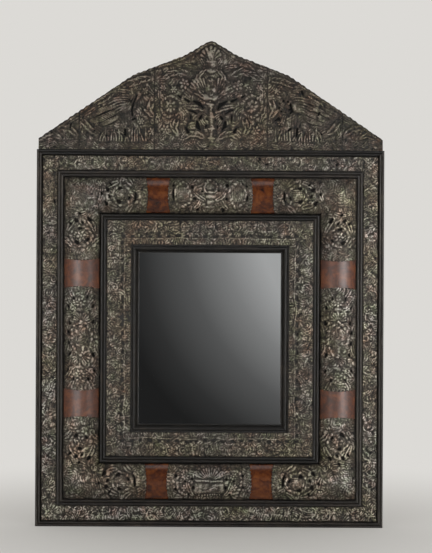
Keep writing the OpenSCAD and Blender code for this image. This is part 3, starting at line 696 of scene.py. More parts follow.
# %% Draw the stem, the tulip and the finial
for path in CREST_STEM:
    path = fine(path, 16)
    ridge(crest, path[:, :2], path[:, 2], 4.2)
for z, across, up in ((28, 10, 4), (50, 10, 4.5), (77, 10, 4.5), (104, 12, 5), (120, 15, 6), (204, 14, 4.5)):
    dome(crest, 0, z, across, up, 4.8)
dome(crest, 0, 143, 13, 17, 5.4)
for heading in (78, 90, 102):
    groove(crest, sweep(0, 130, heading, 26, n=4), (0.6, 1.3, 0.5), 0.8)
petal = fine(CREST_LEAVES[0], 18)
leaf_along(crest, petal[:, :2], 1.3 * petal[:, 2], 4.6, 11)
shell(crest, 9, 121, 55, 54, 46, 6, 4.4, 0.42)
dome(crest, 0, 184, 13, 9, 4.4)
beads(crest, (0, 32), (0, 118), 6.6, 2.7, 5.8)
ridge(crest, circle(0, 172, 21, 17)[3:12], (1.6, 2.8, 1.6), 3.4)
beads(crest, (2, 194), (24, 190), 5.2, 2.3, 2.8)
shell(crest, 0, 206, 90, 35, 116, 7, 3.8, 0.25)
for x, z, heading, length in ((12, 196, 20, 22), (13, 216, 200, 12), (6, 182, 40, 24)):
    leaf(crest, x, z, heading, length, 9, 60, 3.0, 3)
print("stem and tulip drawn")

# %% Draw the leaves, the rosette and the bouquet beside the stem
for path in CREST_LEAVES[1:]:
    path = fine(path, 18)
    leaf_along(crest, path[:, :2], 1.6 * path[:, 2], 4.4, 9)
dome(crest, *ROSETTE, ROSETTE_R, ROSETTE_R, 1.7)
garland(crest, *ROSETTE, ROSETTE_R - ROSETTE_RING_W / 2, ROSETTE_R - ROSETTE_RING_W / 2, 20, 3.8)
flower(crest, *ROSETTE, ROSETTE_HEART_R + 2, 8, 4.4)
for x, z, r in CREST_FLOWERS:
    flower(crest, x, z, r + 0.5, 6, 4.6, 7 * x)
for x, z, heading, length, width, curl in (
        (10, 56, 20, 22, 9, 60), (9, 74, 60, 20, 8, -60), (60, 104, 200, 14, 6, 30),
        (44, 120, 60, 22, 9, -40), (66, 66, 100, 24, 10, -30), (58, 78, 70, 22, 9, -30),
        (116, 62, 80, 26, 9, -20), (118, 112, 70, 26, 10, 30), (30, 190, 20, 34, 10, -20),
        (92, 158, 30, 26, 10, -40), (70, 28, 150, 16, 8, -40), (120, 26, 120, 22, 9, 40)):
    leaf(crest, x, z, heading, length, width, curl, 3.0)
for x, z, heading, length, side in ((44, 140, 240, 34, -1), (104, 124, 60, 34, -1), (76, 164, 60, 30, 1),
                                    (34, 46, 330, 30, -1), (118, 84, 250, 34, 1), (92, 34, 350, 34, 1)):
    scroll(crest, x, z, heading, length, side, 1.9, 3.0)
for path, widths in (
        ([(17, 93), (25, 104), (38, 112)], (1.4, 4.2, 1.4)), ([(49, 112), (59, 119)], (2.6, 1.2)),
        ([(26, 46), (32, 54), (33, 65)], (1.6, 4.4, 2.2)), ([(14, 51), (12.6, 57)], (1.2, 1.8)),
        ([(26, 73), (22, 79)], (2.8, 1.6)), ([(54, 42), (58, 51)], (3.4, 1.8)),
        ([(33, 85), (41, 90), (51, 92)], (1.4, 1.8, 1.0)), ([(48, 66), (47, 80)], (1.0, 1.6)),
        ([(9, 71), (9.4, 71)], 1.6), ([(70, 122), (76, 126)], (2.2, 1.2))):
    pierce(crest, path, widths)
print("leaves, rosette and bouquet drawn")

# %% Draw the bird in the grass, and the leaves that taper to the end
for path in CREST_BIRD:
    path = fine(path)
    ridge(crest, path[:, :2], path[:, 2] + 1.5, 2.6 if path[:, 2].max() > 3.5 else 1.6)
for path in CREST_BIRD[2:6]:
    path = fine(path)
    for side in (-0.9, -0.3, 0.3, 0.9):
        shift = np.array([0.25, 1.0]) * path[:, 2:] * side
        ridge(crest, path[:, :2] + shift, (0.9, 1.6, 0.9), 4.2)
dome(crest, 197, 98, 20, 13, 4.2, -24)
for k in range(6):
    across, up = 16 + 7 * k, 14 + 6 * k
    arc = [(204 + across * math.cos(a), 78 + up * math.sin(a)) for a in np.linspace(0.5, 1.9, 9)]
    ridge(crest, arc, (1.0, 2.0, 1.0), 4.2)
dome(crest, 165, 131, 7.0, 6.0, 3.2, 20)
ridge(crest, [(159, 131), (150, 127)], (2.4, 0.8), 2.4)
hole(crest, 163.5, 132.5, 0.9)
dice = np.random.default_rng(7)
for k, x in enumerate(np.arange(150, 256, 6.6)):
    blade = sweep(x, 22, 90 + dice.normal(0, 10), 18 + 15 * dice.random(), dice.normal(0, 26), n=6)
    ridge(crest, blade, (2.4, 3.0, 1.2), 3.4)
    if k % 3 == 1:
        pierce(crest, blade[2:5] + (3.4, 0), (0.5, 1.3, 0.5))
for x, z, heading, length, width, curl in (
        (206, 146, -32, 34, 11, 12), (262, 96, -36, 34, 11, 10), (294, 78, -34, 34, 11, 8),
        (300, 26, 120, 26, 11, -30), (246, 30, 70, 30, 11, -50), (330, 24, 100, 20, 9, -20),
        (378, 18, 160, 20, 9, 20), (172, 82, 240, 26, 9, 30), (128, 128, 30, 30, 11, 40),
        (142, 24, 60, 24, 10, 60), (286, 26, 30, 26, 9, 30), (186, 134, 20, 30, 10, -30)):
    leaf(crest, x, z, heading, length, width, curl, 3.0)
for x, z, r, petals in ((236, 136, 6, 6), (262, 62, 7, 6), (304, 62, 6.5, 5), (350, 44, 5, 5),
                        (176, 144, 7, 6), (212, 124, 6, 5), (322, 62, 5, 5), (270, 98, 5, 5)):
    flower(crest, x, z, r, petals, 3.0)
for x, z, heading, length, side in ((292, 44, 200, 34, -1), (384, 12, 140, 26, 1), (230, 44, 30, 30, -1),
                                    (126, 66, 60, 34, -1), (330, 36, 330, 30, 1)):
    scroll(crest, x, z, heading, length, side, 1.9, 2.9)
print("bird, grass and end leaves drawn")

# %% Draw the border at the foot, the rolled rim along the slopes, and fold the crest over
for k, x in enumerate(np.arange(6.0, 388, 11.0)):
    leaf(crest, x, 7 if k % 2 else 15, 28 if k % 2 else -28, 17, 9, 20, 2.2 + 0.4 * math.sin(0.37 * x))
ridge(crest, [(0, 20.5), (392, 20.5)], 2.0, 1.4)
ridge(crest, slope + (-1.6, -3.2), 4.2, 2.0)
crest.fold()
INNER_SEAM, END_SEAM = 127.0, 300.0
# A line just past the edge of each lapped sheet is grooved, and later painted black there as the shade of
# its seam. It leans a little
SEAM_LINE, SEAM_LEAN = 3.2, 0.2
for seam in (INNER_SEAM, END_SEAM):
    for hand in (-1, 1):
        low, high = seam + SEAM_LINE + SEAM_LEAN, seam + SEAM_LINE - SEAM_LEAN
        groove(crest, [(hand * low, 0), (hand * high, 200)], SEAM_W, SEAM_DEPTH)
pierce(crest, sweep(-181, 76, 100, 52, -38), (1.2, 2.4, 1.4))
pierce(crest, [(-176, 70), (-182, 66)], (2.4, 1.4))
for k in range(8):
    hole(crest, *turned(170, 101, 45 * k + 12, 13.5, 0), 2.4 if k % 3 else 1.6)
for path, widths in (
        ([(184, 108), (186, 90), (182, 84)], (1.2, 2.6, 1.2)), ([(210, 136), (213, 128)], (3.0, 1.2)),
        ([(197, 30), (200, 50)], (1.4, 2.6, 1.8)), ([(146, 66), (158, 74), (160, 68)], (1.2, 3.0, 1.4)),
        ([(250, 86), (247, 80)], (1.8, 1.2)), ([(178, 44), (184, 50)], (1.2, 2.2)),
        ([(-196, 32), (-198, 46)], (1.2, 2.2)), ([(-322, 60), (-325, 46)], (1.6, 1.0)),
        ([(-268, 44), (-268.4, 44)], 1.8), ([(-366, 40), (-366.4, 40)], 1.6)):
    pierce(crest, path, widths)
print("crest folded over, highest ridge", round(crest.height.max(), 2), "mm")

# %% [markdown]
# ## Filling the ground, and the maker's hand
# A workshop left no bare ground: small veined leaves crowd into every gap. They are laid on a jittered
# grid, each one turned its own way, and fill whatever the main forms leave low, so that they read as
# foliage and not as noise. Then the whole sheet is made uneven, because hammered metal never lies true:
# that is what breaks up its reflections.

# %% Spread and vary a field of heights
def soften(field, width):
    """Spreads a field by a bell curve, as wide as that many grid steps."""
    rows, cols = np.fft.fftfreq(field.shape[0])[:, None], np.fft.rfftfreq(field.shape[1])[None]
    bell = np.exp(-2 * (math.pi * width) ** 2 * (rows ** 2 + cols ** 2))
    return np.fft.irfft2(np.fft.rfft2(field) * bell, s=field.shape)


def wave(shape, size, dice):
    """Even random waves of about that size in mm, with a spread of 1."""
    field = soften(dice.standard_normal(shape), size / PITCH / 2.5)
    return field / field.std()


print("field helpers: soften, wave")


# %% Fill the ground with small veined leaves
def leafage(sheet, spacing, vein, dice):
    """Small leaves side by side, from 0 between them to 1. The veins of each are arcs round its own root."""
    nearest = np.full_like(sheet.height, FAR)
    phase = np.zeros_like(sheet.height)
    count = 0
    for x in np.arange(sheet.x[0], sheet.x[-1] + spacing, spacing):
        for z in np.arange(sheet.z[0], sheet.z[-1] + spacing, spacing):
            px, pz = np.array([x, z]) + dice.uniform(-0.42, 0.42, 2) * spacing
            grow, way = dice.uniform(0.8, 1.25), dice.uniform(0, 2 * math.pi)
            spot, grid_x, grid_z = sheet.window(np.array([[px, pz]]), 1.3 * spacing)
            ahead = (grid_x - px) * math.cos(way) + (grid_z - pz) * math.sin(way)
            aside = (grid_z - pz) * math.cos(way) - (grid_x - px) * math.sin(way)
            gap = np.hypot(0.72 * ahead, aside) / grow
            closer = gap < nearest[spot]
            nearest[spot] = np.where(closer, gap, nearest[spot])
            arcs = np.hypot(ahead + 1.1 * spacing, aside) / (vein * dice.uniform(0.8, 1.35))
            phase[spot] = np.where(closer, arcs, phase[spot])
            count += 1
    body = np.clip(1 - (nearest / (0.66 * spacing)) ** 2, 0, 1) ** 0.6
    veins = 0.5 + 0.5 * np.cos(2 * math.pi * phase)
    return body, veins, count


dice = np.random.default_rng(11)
s = inward(face.x[None, :], face.z[:, None])
on_cushion = (s > CUSHION[0] - 2) & (s < CUSHION[1] + 2)
for sheet, spacing, rise, sunk, quiet in (
        (face, 12.0, 1.9, np.where(on_cushion, 0.4, 0.15), np.where(on_cushion, 0.55, 0.25)),
        (crest, 15.5, 2.4, 0.6, 0.45)):
    body, veins, count = leafage(sheet, spacing, 5.0, dice)
    # The ground is driven back beside the main forms, so that they stand out, and they carry fainter veins
    beside = 1 - sunk * smooth_step(soften(sheet.height, 2.5) / 1.1)
    calm = 1 - quiet * smooth_step(sheet.height / 2.5)
    veined = 0.8 * (veins - 0.5) * (0.35 + 0.65 * body) * calm
    sheet.height = np.maximum(sheet.height, rise * body * beside) + veined
    print("small leaves:", count)


# %% Make the sheets uneven
def wander(sheet, size, reach, dice):
    """Pushes the drawing about, because a hand never repeats a shape exactly."""
    shape = sheet.height.shape
    x = sheet.x[None, :] + reach * wave(shape, size, dice)
    z = sheet.z[:, None] + reach * wave(shape, size, dice)
    sheet.height, sheet.metal = sheet.read(sheet.height, x, z), sheet.read(sheet.metal, x, z)


# How much more relief, contrast and lightness each band is given than the crest, and more again towards the
# bottom
OUTER_BOOST, CUSHION_BOOST, INNER_BOOST = 0.3, -0.3, 0.55
on_outer_band = s < CUSHION[0] - 2
low_down = (HALF_H - face.z[:, None]) / (2 * HALF_H)
boost = np.select([on_outer_band, on_cushion], [OUTER_BOOST, CUSHION_BOOST], INNER_BOOST)
boost = boost + np.where(s < CUSHION[1] + 6, 0.6 * low_down ** 1.5, 0)
boost = boost + np.where(on_outer_band, 1.1 * low_down ** 8, 0)
for sheet, boost, fine_share, broad_share in ((face, boost, 1.3, 0.3), (crest, 0, 1.05, 0.42)):
    wander(sheet, 26, 1.1, dice)
    shape = sheet.height.shape
    # The hammer has struck some places harder, and the sheet itself is bent here and there
    sheet.height *= np.clip(1 + 0.18 * wave(shape, 30, dice) + 0.15 * wave(shape, 8, dice), 0.3, 1.5)
    sheet.height *= 1 + 0.15 * boost
    sheet.height += 0.7 * wave(shape, 30, dice) + 0.12 * wave(shape, 6, dice)
    sheet.height = soften(sheet.height, 0.65)
    # What stands above its surroundings is rubbed bright, and dirt lies in the hollows and round the holes
    fine_rise = sheet.height - soften(sheet.height, 3.0)
    broad_rise = sheet.height - soften(sheet.height, 11.0)
    rise = fine_share * fine_rise + broad_share * broad_rise
    # The boost also makes the colour lighter and its contrast greater
    sheet.patina = 0.5 + 0.48 * np.tanh((1 + 0.5 * boost) * rise)
    sheet.patina += 0.05 * wave(shape, 16, dice) + 0.05 * boost
    sheet.patina = np.clip(sheet.patina * (0.2 + 0.8 * smooth_step(sheet.metal / 2.2)), 0, 1)

# The crest is painted darker towards its ends and a little more on the right, as painted shade that evens
# out the side lamps' light, and painted black in its seams, as their shade
aside = crest.x[None, :]
crest.patina *= 1.125 - (0.30 * np.abs(aside) + 0.09 * aside) / CREST_HALF_W
for seam in (INNER_SEAM, END_SEAM):
    crest.patina *= 0.15 + 0.85 * smooth_step(np.abs(np.abs(aside) - seam - SEAM_LINE) / 2.4)

# The bands are painted darker along their edges, as painted shade in the corner that each makes with its
# moulding, and each band is made a little lighter or darker as a whole
for low, high, reach, worn in ((*OUTER_BAND, 4.5, 0.96), (*CUSHION, 7.0, 1.13), (*INNER_BAND, 4.0, 0.90)):
    inside = (s > low - 1) & (s < high + 1)
    gap = np.minimum(s - low, high - s)[inside]
    face.patina[inside] *= worn * (0.08 + 0.92 * smooth_step((gap + 0.4) / reach))
print("heights now run from", round(face.height.min(), 2), "to", round(face.height.max(), 2), "mm")

# %% [markdown]
# ## Bending the sheets over the wood
# Each sheet starts as a flat grid in the plane of the face, cut at its mitres. Its points are then lifted
# along the normal of the wood beneath, flat under the bands and round over the cushion, by the height that
# was drawn there. Last, its edge and its holes are cut: points near the cutting line move onto it, and the
# faces beyond it are deleted.

# %% Say where the wood's surface lies
def frame_bed(x, z):
    """The depth of the sheet's face over the wood, and how far its normal leans inward."""
    s = inward(x, z)
    depth, lean = np.full_like(s, OUTER_BAND_FRONT), np.zeros_like(s)
    for low, high, mid, radius, front in (
            (*CUSHION, CUSHION_MID, CUSHION_R, CUSHION_FRONT),
            (*INNER_BAND, INNER_BAND_MID, INNER_BAND_R, INNER_BAND_FRONT)):
        zone = (s > low - 2) & (s < high + 2)
        out = np.clip((s[zone] - mid) / radius, -0.8, 0.8)
        depth[zone] = front - radius + radius * np.sqrt(1 - out ** 2)
        lean[zone] = out
    return depth, lean


def on_frame(x, z, lift):
    """Lifts points of the frame's face off the wood, turning smoothly over the mitres."""
    depth, lean = frame_bed(x, z)
    upright = smooth_step((np.abs(x) - HALF_W + HALF_H - np.abs(z)) / 16 + 0.5)
    out = depth + np.sqrt(1 - lean ** 2) * lift
    x, z = x - np.sign(x) * upright * lean * lift, z - np.sign(z) * (1 - upright) * lean * lift
    return np.stack([x, -out, z], 1) * MM


def on_crest(x, z, lift):
    """Lifts points of the crest's face off its board."""
    return np.stack([x, -(CREST_FRONT + lift), z + HALF_H], 1) * MM


crown = frame_bed(np.array([MID_X]), np.zeros(1))[0]
print("the cushion's crown stands", crown[0], "mm in front of the wall")


# %% Cut flat grids, mitred where sheets meet
def add_grid(bm, low, high, cell):
    """A flat grid between two corners of the face. Returns what it added."""
    size = Vector((high[0] - low[0], high[1] - low[1]))
    place = Matrix.Translation(((low[0] + high[0]) / 2, (low[1] + high[1]) / 2, 0))
    place = place @ Matrix.Diagonal((size.x / 2, size.y / 2, 1, 1))
    segments = [max(1, round(side / cell)) for side in size]
    made = bmesh.ops.create_grid(bm, x_segments=segments[0], y_segments=segments[1], size=1, matrix=place)
    verts = set(made["verts"])
    return [*verts, *{e for v in verts for e in v.link_edges}, *{f for v in verts for f in v.link_faces}]


def side_grid(bm, upright, across, lengthways, cell):
    """A grid on one side of the frame, from how far it reaches across that side and lengthways on it."""
    low, high = zip(across, lengthways) if upright else zip(lengthways, across)
    add_grid(bm, low, high, cell)


def cut_mitre(bm, geom, corner, normal):
    """Cuts a grid along a mitre and drops the side that the normal points to."""
    bmesh.ops.bisect_plane(bm, geom=geom, dist=1e-4, plane_co=(*corner, 0), plane_no=(*normal, 0),
                           clear_outer=True)


def trim(bm):
    """Deletes the faces beyond the cutting line. A face that the line crosses is split along it first."""
    keep = bm.verts.layers.float["keep"]
    for patch in list(bm.faces):
        values = [v[keep] for v in patch.verts]
        if min(values) < 0 < max(values):
            on_line = [v for v in patch.verts if v[keep] == 0]
            if len(on_line) == 2 and len(patch.verts) == 4 and (values[0] == 0) == (values[2] == 0):
                bmesh.utils.face_split(patch, *on_line)
    lost = [f for f in bm.faces if min(v[keep] for v in f.verts) < 0]
    bmesh.ops.delete(bm, geom=lost, context="FACES")
    loose = [v for v in bm.verts if not v.link_faces]
    bmesh.ops.delete(bm, geom=loose, context="VERTS")


print("grid helpers: add_grid, side_grid, cut_mitre, trim")


# %% Turn what was modelled into a mesh and an object
def make_mesh(bm, name):
    """Turns a bmesh into a mesh."""
    mesh = bpy.data.meshes.new(name)
    bm.to_mesh(mesh)
    bm.free()
    return mesh


def put_in_scene(name, data):
    """Makes an object of a mesh, a light or a camera."""
    made = bpy.data.objects.new(name, data)
    bpy.context.scene.collection.objects.link(made)
    return made


def flat_places(mesh):
    """The x and z on the face of a flat grid's points."""
    flat = np.empty(len(mesh.vertices) * 3)
    mesh.vertices.foreach_get("co", flat)
    return flat.reshape(-1, 3)[:, :2].T.copy()


print("object helpers: make_mesh, put_in_scene, flat_places")

# %% Lift, trim and finish a sheet
# How far to each side of a point the way to the cutting line is felt for
FEELER = 0.2
# Points that lie nearer to it than this share of a cell move onto it
SNAP = 0.55


def emboss(bm, name, sheet, edge, lay, cell, body, node):
    """Turns a flat grid into a finished sheet that rides on a body and stands for a node."""
    mesh = make_mesh(bm, name)
    x, z = flat_places(mesh)

    def keep_at(x, z):
        """How far points lie inside the metal, and negative outside."""
        return np.minimum(edge(x, z), sheet.read(sheet.metal, x, z))

    keep = keep_at(x, z)
    slope_x = (keep_at(x + FEELER, z) - keep_at(x - FEELER, z)) / (2 * FEELER)
    slope_z = (keep_at(x, z + FEELER) - keep_at(x, z - FEELER)) / (2 * FEELER)
    steep = np.maximum(slope_x ** 2 + slope_z ** 2, 0.2)
    near = np.abs(keep) < SNAP * cell
    x[near] -= (keep * slope_x / steep)[near]
    z[near] -= (keep * slope_z / steep)[near]
    keep[near] = 0
    lift = sheet.read(sheet.height, x, z)
    mesh.vertices.foreach_set("co", lay(x, z, lift).ravel())
    for field, values in (("keep", keep), ("patina", sheet.read(sheet.patina, x, z))):
        mesh.attributes.new(field, "FLOAT", "POINT").data.foreach_set("value", values.astype(np.float32))
    bm = bmesh.new()
    bm.from_mesh(mesh)
    trim(bm)
    bm.to_mesh(mesh)
    bm.free()
    return finish_piece(name, mesh, body, node, SHEET_T)


def finish_piece(name, mesh, body, node, thick=None):
    """Shades a mesh smooth, gives a sheet its thickness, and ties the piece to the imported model."""
    mesh.shade_smooth()
    piece = put_in_scene(name, mesh)
    if thick:
        wall = piece.modifiers.new("thickness", "SOLIDIFY")
        wall.thickness = thick * MM
        wall.offset = -1
    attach(piece, body)
    if node:
        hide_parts(node)
    return piece


print("sheet helpers: emboss, finish_piece")


# %% [markdown]
# The bands are long strips that meet in mitres, as the mouldings beside them do. bisect_plane cuts each
# flat grid at both ends, so that neighbours share the line of the mitre and no gap opens there.

# %% Make the four outer and four inner bands
# Each side of the frame, whether it stands upright, and whether it lies towards + or - from the middle
SIDES = (("bottom", False, -1), ("right", True, 1), ("top", False, 1), ("left", True, -1))
BAND_CELL = 1.2
# The outer band's gaps to its mouldings, and the length and depth of the inner band's scallops
GAP_OUTSIDE, GAP_INSIDE = 1.0, 0.8
SCALLOP, SCALLOP_DEPTH = 6.2, 0.9
embossed = []


def emboss_on_frame(bm, kind, name, edge, cell):
    """Embosses a sheet of the frame and adds it to the list."""
    piece_name, node = f"embossed_{kind}_{name}", f"{kind}_{name}"
    embossed.append(emboss(bm, piece_name, face, edge, on_frame, cell, "frame", node))


def mitred_grid(upright, out, band, cell):
    """The grid of one side of a band, cut at its two mitres."""
    bm = bmesh.new()
    half, half_length = (HALF_W, HALF_H) if upright else (HALF_H, HALF_W)
    across = sorted(out * (half - s) for s in band)
    reach = half_length - band[0]
    side_grid(bm, upright, across, (-reach, reach), cell)
    for end in (-1, 1):
        corner = (out * HALF_W, end * HALF_H) if upright else (end * HALF_W, out * HALF_H)
        normal = (-out, end) if upright else (end, -out)
        cut_mitre(bm, [*bm.verts, *bm.edges, *bm.faces], corner, normal)
    return bm


def outer_band_edge(x, z):
    """The outer band was cut a little narrow by hand, so a black crevice shows on both sides of it."""
    s = inward(x, z)
    uneven = 0.35 * np.sin((x + z) / 17) * np.sin((x - z) / 29)
    return np.minimum(s - OUTER_BAND[0] - GAP_OUTSIDE, OUTER_BAND[1] - GAP_INSIDE - s) + uneven


def scalloped_edge(x, z):
    """The inner band's inner edge, cut in small scallops."""
    lengthways = np.where(HALF_W - np.abs(x) < HALF_H - np.abs(z), z, x)
    swing = SCALLOP_DEPTH * np.cos(2 * math.pi * lengthways / SCALLOP)
    return INNER_BAND[1] - inward(x, z) - SCALLOP_DEPTH + swing


BANDS = (("outer_band", OUTER_BAND, outer_band_edge), ("inner_band", INNER_BAND, scalloped_edge))
for name, upright, out in SIDES:
    for kind, band, edge in BANDS:
        emboss_on_frame(mitred_grid(upright, out, band, BAND_CELL), kind, name, edge, BAND_CELL)
print("bands:", sum(len(p.data.polygons) for p in embossed), "faces")

# %% [markdown]
# The plaques were cut by hand. Their ends bow out over the tortoiseshell, with one scallop for each leaf
# tip, and their long sides are uneven. The outline is a formula, so that the mesh can stay an even grid up
# to its edge.

# %% Make the four centre plaques
PLAQUE_CELLS = 71
PLAQUE_CELL = 2 * CUSHION_HALF / PLAQUE_CELLS
# How far the grids of the side plaques and of the other two run from the middle, a little past their ends
LONG_REACH, SHORT_REACH = 122.0, 100.0
SIDE_GAP = 1.1


def scallops(across):
    """The small scallops along a plaque's end, one for each leaf tip."""
    return 0.8 - 0.8 * np.cos(2 * math.pi * across / TIP_PITCH)


def side_gap(lengthways, across):
    """How far points lie inside a plaque's long sides, which were cut by hand and leave a narrow gap."""
    slow = np.sin(lengthways / 9.1 + 2) * np.sin(lengthways / 23 + np.sign(across))
    uneven = 0.8 * slow + 0.3 * np.sin(lengthways / 4.3)
    return CUSHION_HALF - SIDE_GAP - uneven - np.abs(across)


def split_face(x, z):
    """How far points on the cushion lie lengthways and across from its middle, and if a side is upright."""
    upright = HALF_W - np.abs(x) < HALF_H - np.abs(z)
    lengthways = np.where(upright, z, x)
    across = np.where(upright, np.abs(x) - MID_X, np.abs(z) - MID_Z)
    return np.abs(lengthways), across, upright


def centre_edge(x, z):
    """How far points lie inside the outline of a centre plaque."""
    lengthways, across, upright = split_face(x, z)
    reach = np.where(upright, LONG_PANEL[0], SHORT_PANEL[0]) + END_BOW
    bow = END_BOW_R - np.hypot(lengthways - (reach - END_BOW_R), across) - scallops(across)
    return np.minimum(bow, side_gap(lengthways, across))


for name, upright, out in SIDES:
    bm = bmesh.new()
    mid, reach = (MID_X, LONG_REACH) if upright else (MID_Z, SHORT_REACH)
    across = (out * mid - CUSHION_HALF, out * mid + CUSHION_HALF)
    side_grid(bm, upright, across, (-reach, reach), PLAQUE_CELL)
    emboss_on_frame(bm, "centre_plaque", name, centre_edge, PLAQUE_CELL)
print("centre plaques: cells of", round(PLAQUE_CELL, 3), "mm")

# %% [markdown]
# A corner plaque is two grids, cut along the mitre and welded there, so that the metal runs over the corner
# without a seam.

# %% Make the four corner plaques, welded over their mitres
# How far the grid of each arm runs from the cushion's inner corner, a little past the plaque's end
LONG_ARM, SHORT_ARM = 146, 112


def corner_edge(x, z):
    """How far points lie inside the outline of a corner plaque."""
    lengthways, across, upright = split_face(x, z)
    arm = np.where(upright, LONG_PANEL[1], SHORT_PANEL[1]) - END_BOW + END_BOW_R
    bow = END_BOW_R - np.hypot(lengthways - arm, across) - scallops(across)
    return np.minimum(np.where(lengthways > arm, FAR, bow), side_gap(lengthways, across))


def corner_grid(right, up):
    """Two grids that meet in the mitre of one corner, welded along it."""
    bm = bmesh.new()
    outer_x, outer_z = HALF_W - CUSHION[0], HALF_H - CUSHION[0]
    inner_x, inner_z = HALF_W - CUSHION[1], HALF_H - CUSHION[1]
    for upright in (False, True):
        arm = LONG_ARM if upright else SHORT_ARM
        cells = math.ceil((arm + (outer_x - inner_x)) / PLAQUE_CELL)
        low_x = inner_x if upright else outer_x - cells * PLAQUE_CELL
        low_z = outer_z - cells * PLAQUE_CELL if upright else inner_z
        xs, zs = sorted((right * low_x, right * outer_x)), sorted((up * low_z, up * outer_z))
        geom = add_grid(bm, (xs[0], zs[0]), (xs[1], zs[1]), PLAQUE_CELL)
        normal = (-right, up) if upright else (right, -up)
        cut_mitre(bm, geom, (right * HALF_W, up * HALF_H), normal)
    bmesh.ops.remove_doubles(bm, verts=bm.verts, dist=0.05)
    return bm


CORNERS = (("bottom_right", 1, -1), ("top_right", 1, 1), ("top_left", -1, 1), ("bottom_left", -1, -1))
for name, right, up in CORNERS:
    emboss_on_frame(corner_grid(right, up), "corner_plaque", name, corner_edge, PLAQUE_CELL)
print("corner plaques:", [len(p.data.polygons) for p in embossed[-4:]], "faces")

# %% [markdown]
# Five sheets lie side by side on the crest, each lapped a little over the next one out. An edge that laps
# rises by the thickness of the sheet under it, and that step is what shows as a seam.

# %% Make the crest's five sheets, lapped at their seams
CREST_CELL = 1.25
# How far a sheet laps over its neighbour's, how wide it rises to do so, and how high above its own thickness
LAP, LAP_RISE, LAP_GAP = 2.5, 7, 0.2


def crest_top(low, high):
    """How high the crest stands at the highest point of a stretch of it."""
    nearest = 0 if low < 0 < high else min(abs(low), abs(high))
    return float(np.interp(nearest, slope[::-1, 0], slope[::-1, 1]))


def cut_crest_edge(x, z):
    """How far points lie inside the crest's ragged outline."""
    return crest.read(crest.edge, x, z)


def crest_piece(name, node, start, stop, *lapped):
    """One sheet of the crest. An edge that laps over a neighbour is lifted by the neighbour's thickness."""
    low, high = sorted((start, stop))
    bm = bmesh.new()
    add_grid(bm, (low, CREST_FOOT), (high, min(CREST_H, crest_top(low, high)) + 1), CREST_CELL)

    def lay(x, z, lift):
        """Lifts the points off the board, and more near a lapped edge."""
        for edge in lapped:
            lift = lift + (SHEET_T + LAP_GAP) * smooth_step(1 - np.sign(edge) * (edge - x) / LAP_RISE)
        return on_crest(x, z, lift)

    embossed.append(emboss(bm, name, crest, cut_crest_edge, lay, CREST_CELL, "crest", node))


inner_lap, end_lap = INNER_SEAM + LAP, END_SEAM + LAP
crest_piece("embossed_crest_centre", "crest_sheet_centre", -inner_lap, inner_lap, inner_lap, -inner_lap)
for name, way in (("left", -1), ("right", 1)):
    node = f"crest_sheet_{name}"
    crest_piece(f"embossed_crest_{name}", node, way * (INNER_SEAM - LAP), way * end_lap, way * end_lap)
    crest_piece(f"embossed_crest_{name}_end", node, way * (END_SEAM - LAP), way * CREST_HALF_W)
print("crest sheets:", [len(p.data.polygons) for p in embossed[-5:]], "faces")

# %% [markdown]
# Small round-headed pins hold the sheets to the wood, near the edges, a hand's width apart or less. Each
# head is a squashed ball of only 20 faces, because there are so many of them, and it sits half sunk in the
# metal.

# %% Pin the sheets down
PIN_R = 1.5
# How far the pins stand in from the edges of the bands, and past the ends of the corner plaques
PIN_INSET = 3.5
PIN_PAST_END = 6


def pin_row(start, stop, spacing):
    """The places of a row of pins, a little uneven as they are on the real sheets."""
    start, stop = np.array(start, float), np.array(stop, float)
    count = max(1, round(np.linalg.norm(stop - start) / spacing))
    steps = [k + 0.5 + 0.16 * math.sin(2.7 * k + start[0]) for k in range(count)]
    return [start + (stop - start) * step / count for step in steps]


def make_pins(name, body, sheet, lay, places):
    """Sets one ball at each place, with its middle on the sheet's raised face."""
    x, z = np.array(places).T
    at = lay(x, z, sheet.read(sheet.height, x, z))
    bm = bmesh.new()
    for spot in at:
        squash = Matrix.Diagonal((PIN_R * MM, 0.7 * PIN_R * MM, PIN_R * MM, 1))
        place = Matrix.Translation(Vector(spot)) @ squash
        bmesh.ops.create_icosphere(bm, subdivisions=1, radius=1, matrix=place)
    return finish_piece(name, make_mesh(bm, name), body, None)


frame_pins = []
for line, spacing in ((OUTER_BAND[0] + PIN_INSET, 62.0), (OUTER_BAND[1] - PIN_INSET, 55.0),
                      (INNER_BAND[0] + PIN_INSET, 48.0), (INNER_BAND[1] - PIN_INSET - 1, 41.0)):
    x, z = HALF_W - line, HALF_H - line
    for a, b in (((-x, -z), (x, -z)), ((x, -z), (x, z)), ((x, z), (-x, z)), ((-x, z), (-x, -z))):
        frame_pins += pin_row(a, b, spacing)
for out_x in (-1, 1):
    for out_z in (-1, 1):
        for across in (-31, 0, 31):
            for end in (SHORT_PANEL[0], SHORT_PANEL[1] + PIN_PAST_END):
                frame_pins.append((out_x * end, out_z * (MID_Z + across)))
            for end in (LONG_PANEL[0], LONG_PANEL[1] + PIN_PAST_END):
                frame_pins.append((out_x * (MID_X + across), out_z * end))
crest_pins = pin_row((-390, PIN_INSET), (390, PIN_INSET), 44.0)
for way in (-1, 1):
    for a, b in zip(slope[:-1], slope[1:]):
        if np.linalg.norm(b - a) > 30:
            crest_pins += pin_row((way * a[0], a[1] - 4.5), (way * b[0], b[1] - 4.5), 36.0)
pins = [make_pins("sheet_pins_frame", "frame", face, on_frame, frame_pins),
        make_pins("sheet_pins_crest", "crest", crest, on_crest, crest_pins)]
print("pins:", len(frame_pins), "on the frame,", len(crest_pins), "on the crest")

# %% [markdown]
# ## The tortoiseshell panels
# Eight short panels of thin shell, glued over the cushion with their ends under the plaques. They could
# keep the solid's mesh, but a glossy curve shows every flat facet, so each is a fine grid bent over the
# same cushion.

# %% Bend the tortoiseshell over the cushion
SHELL_CELL = 2.0
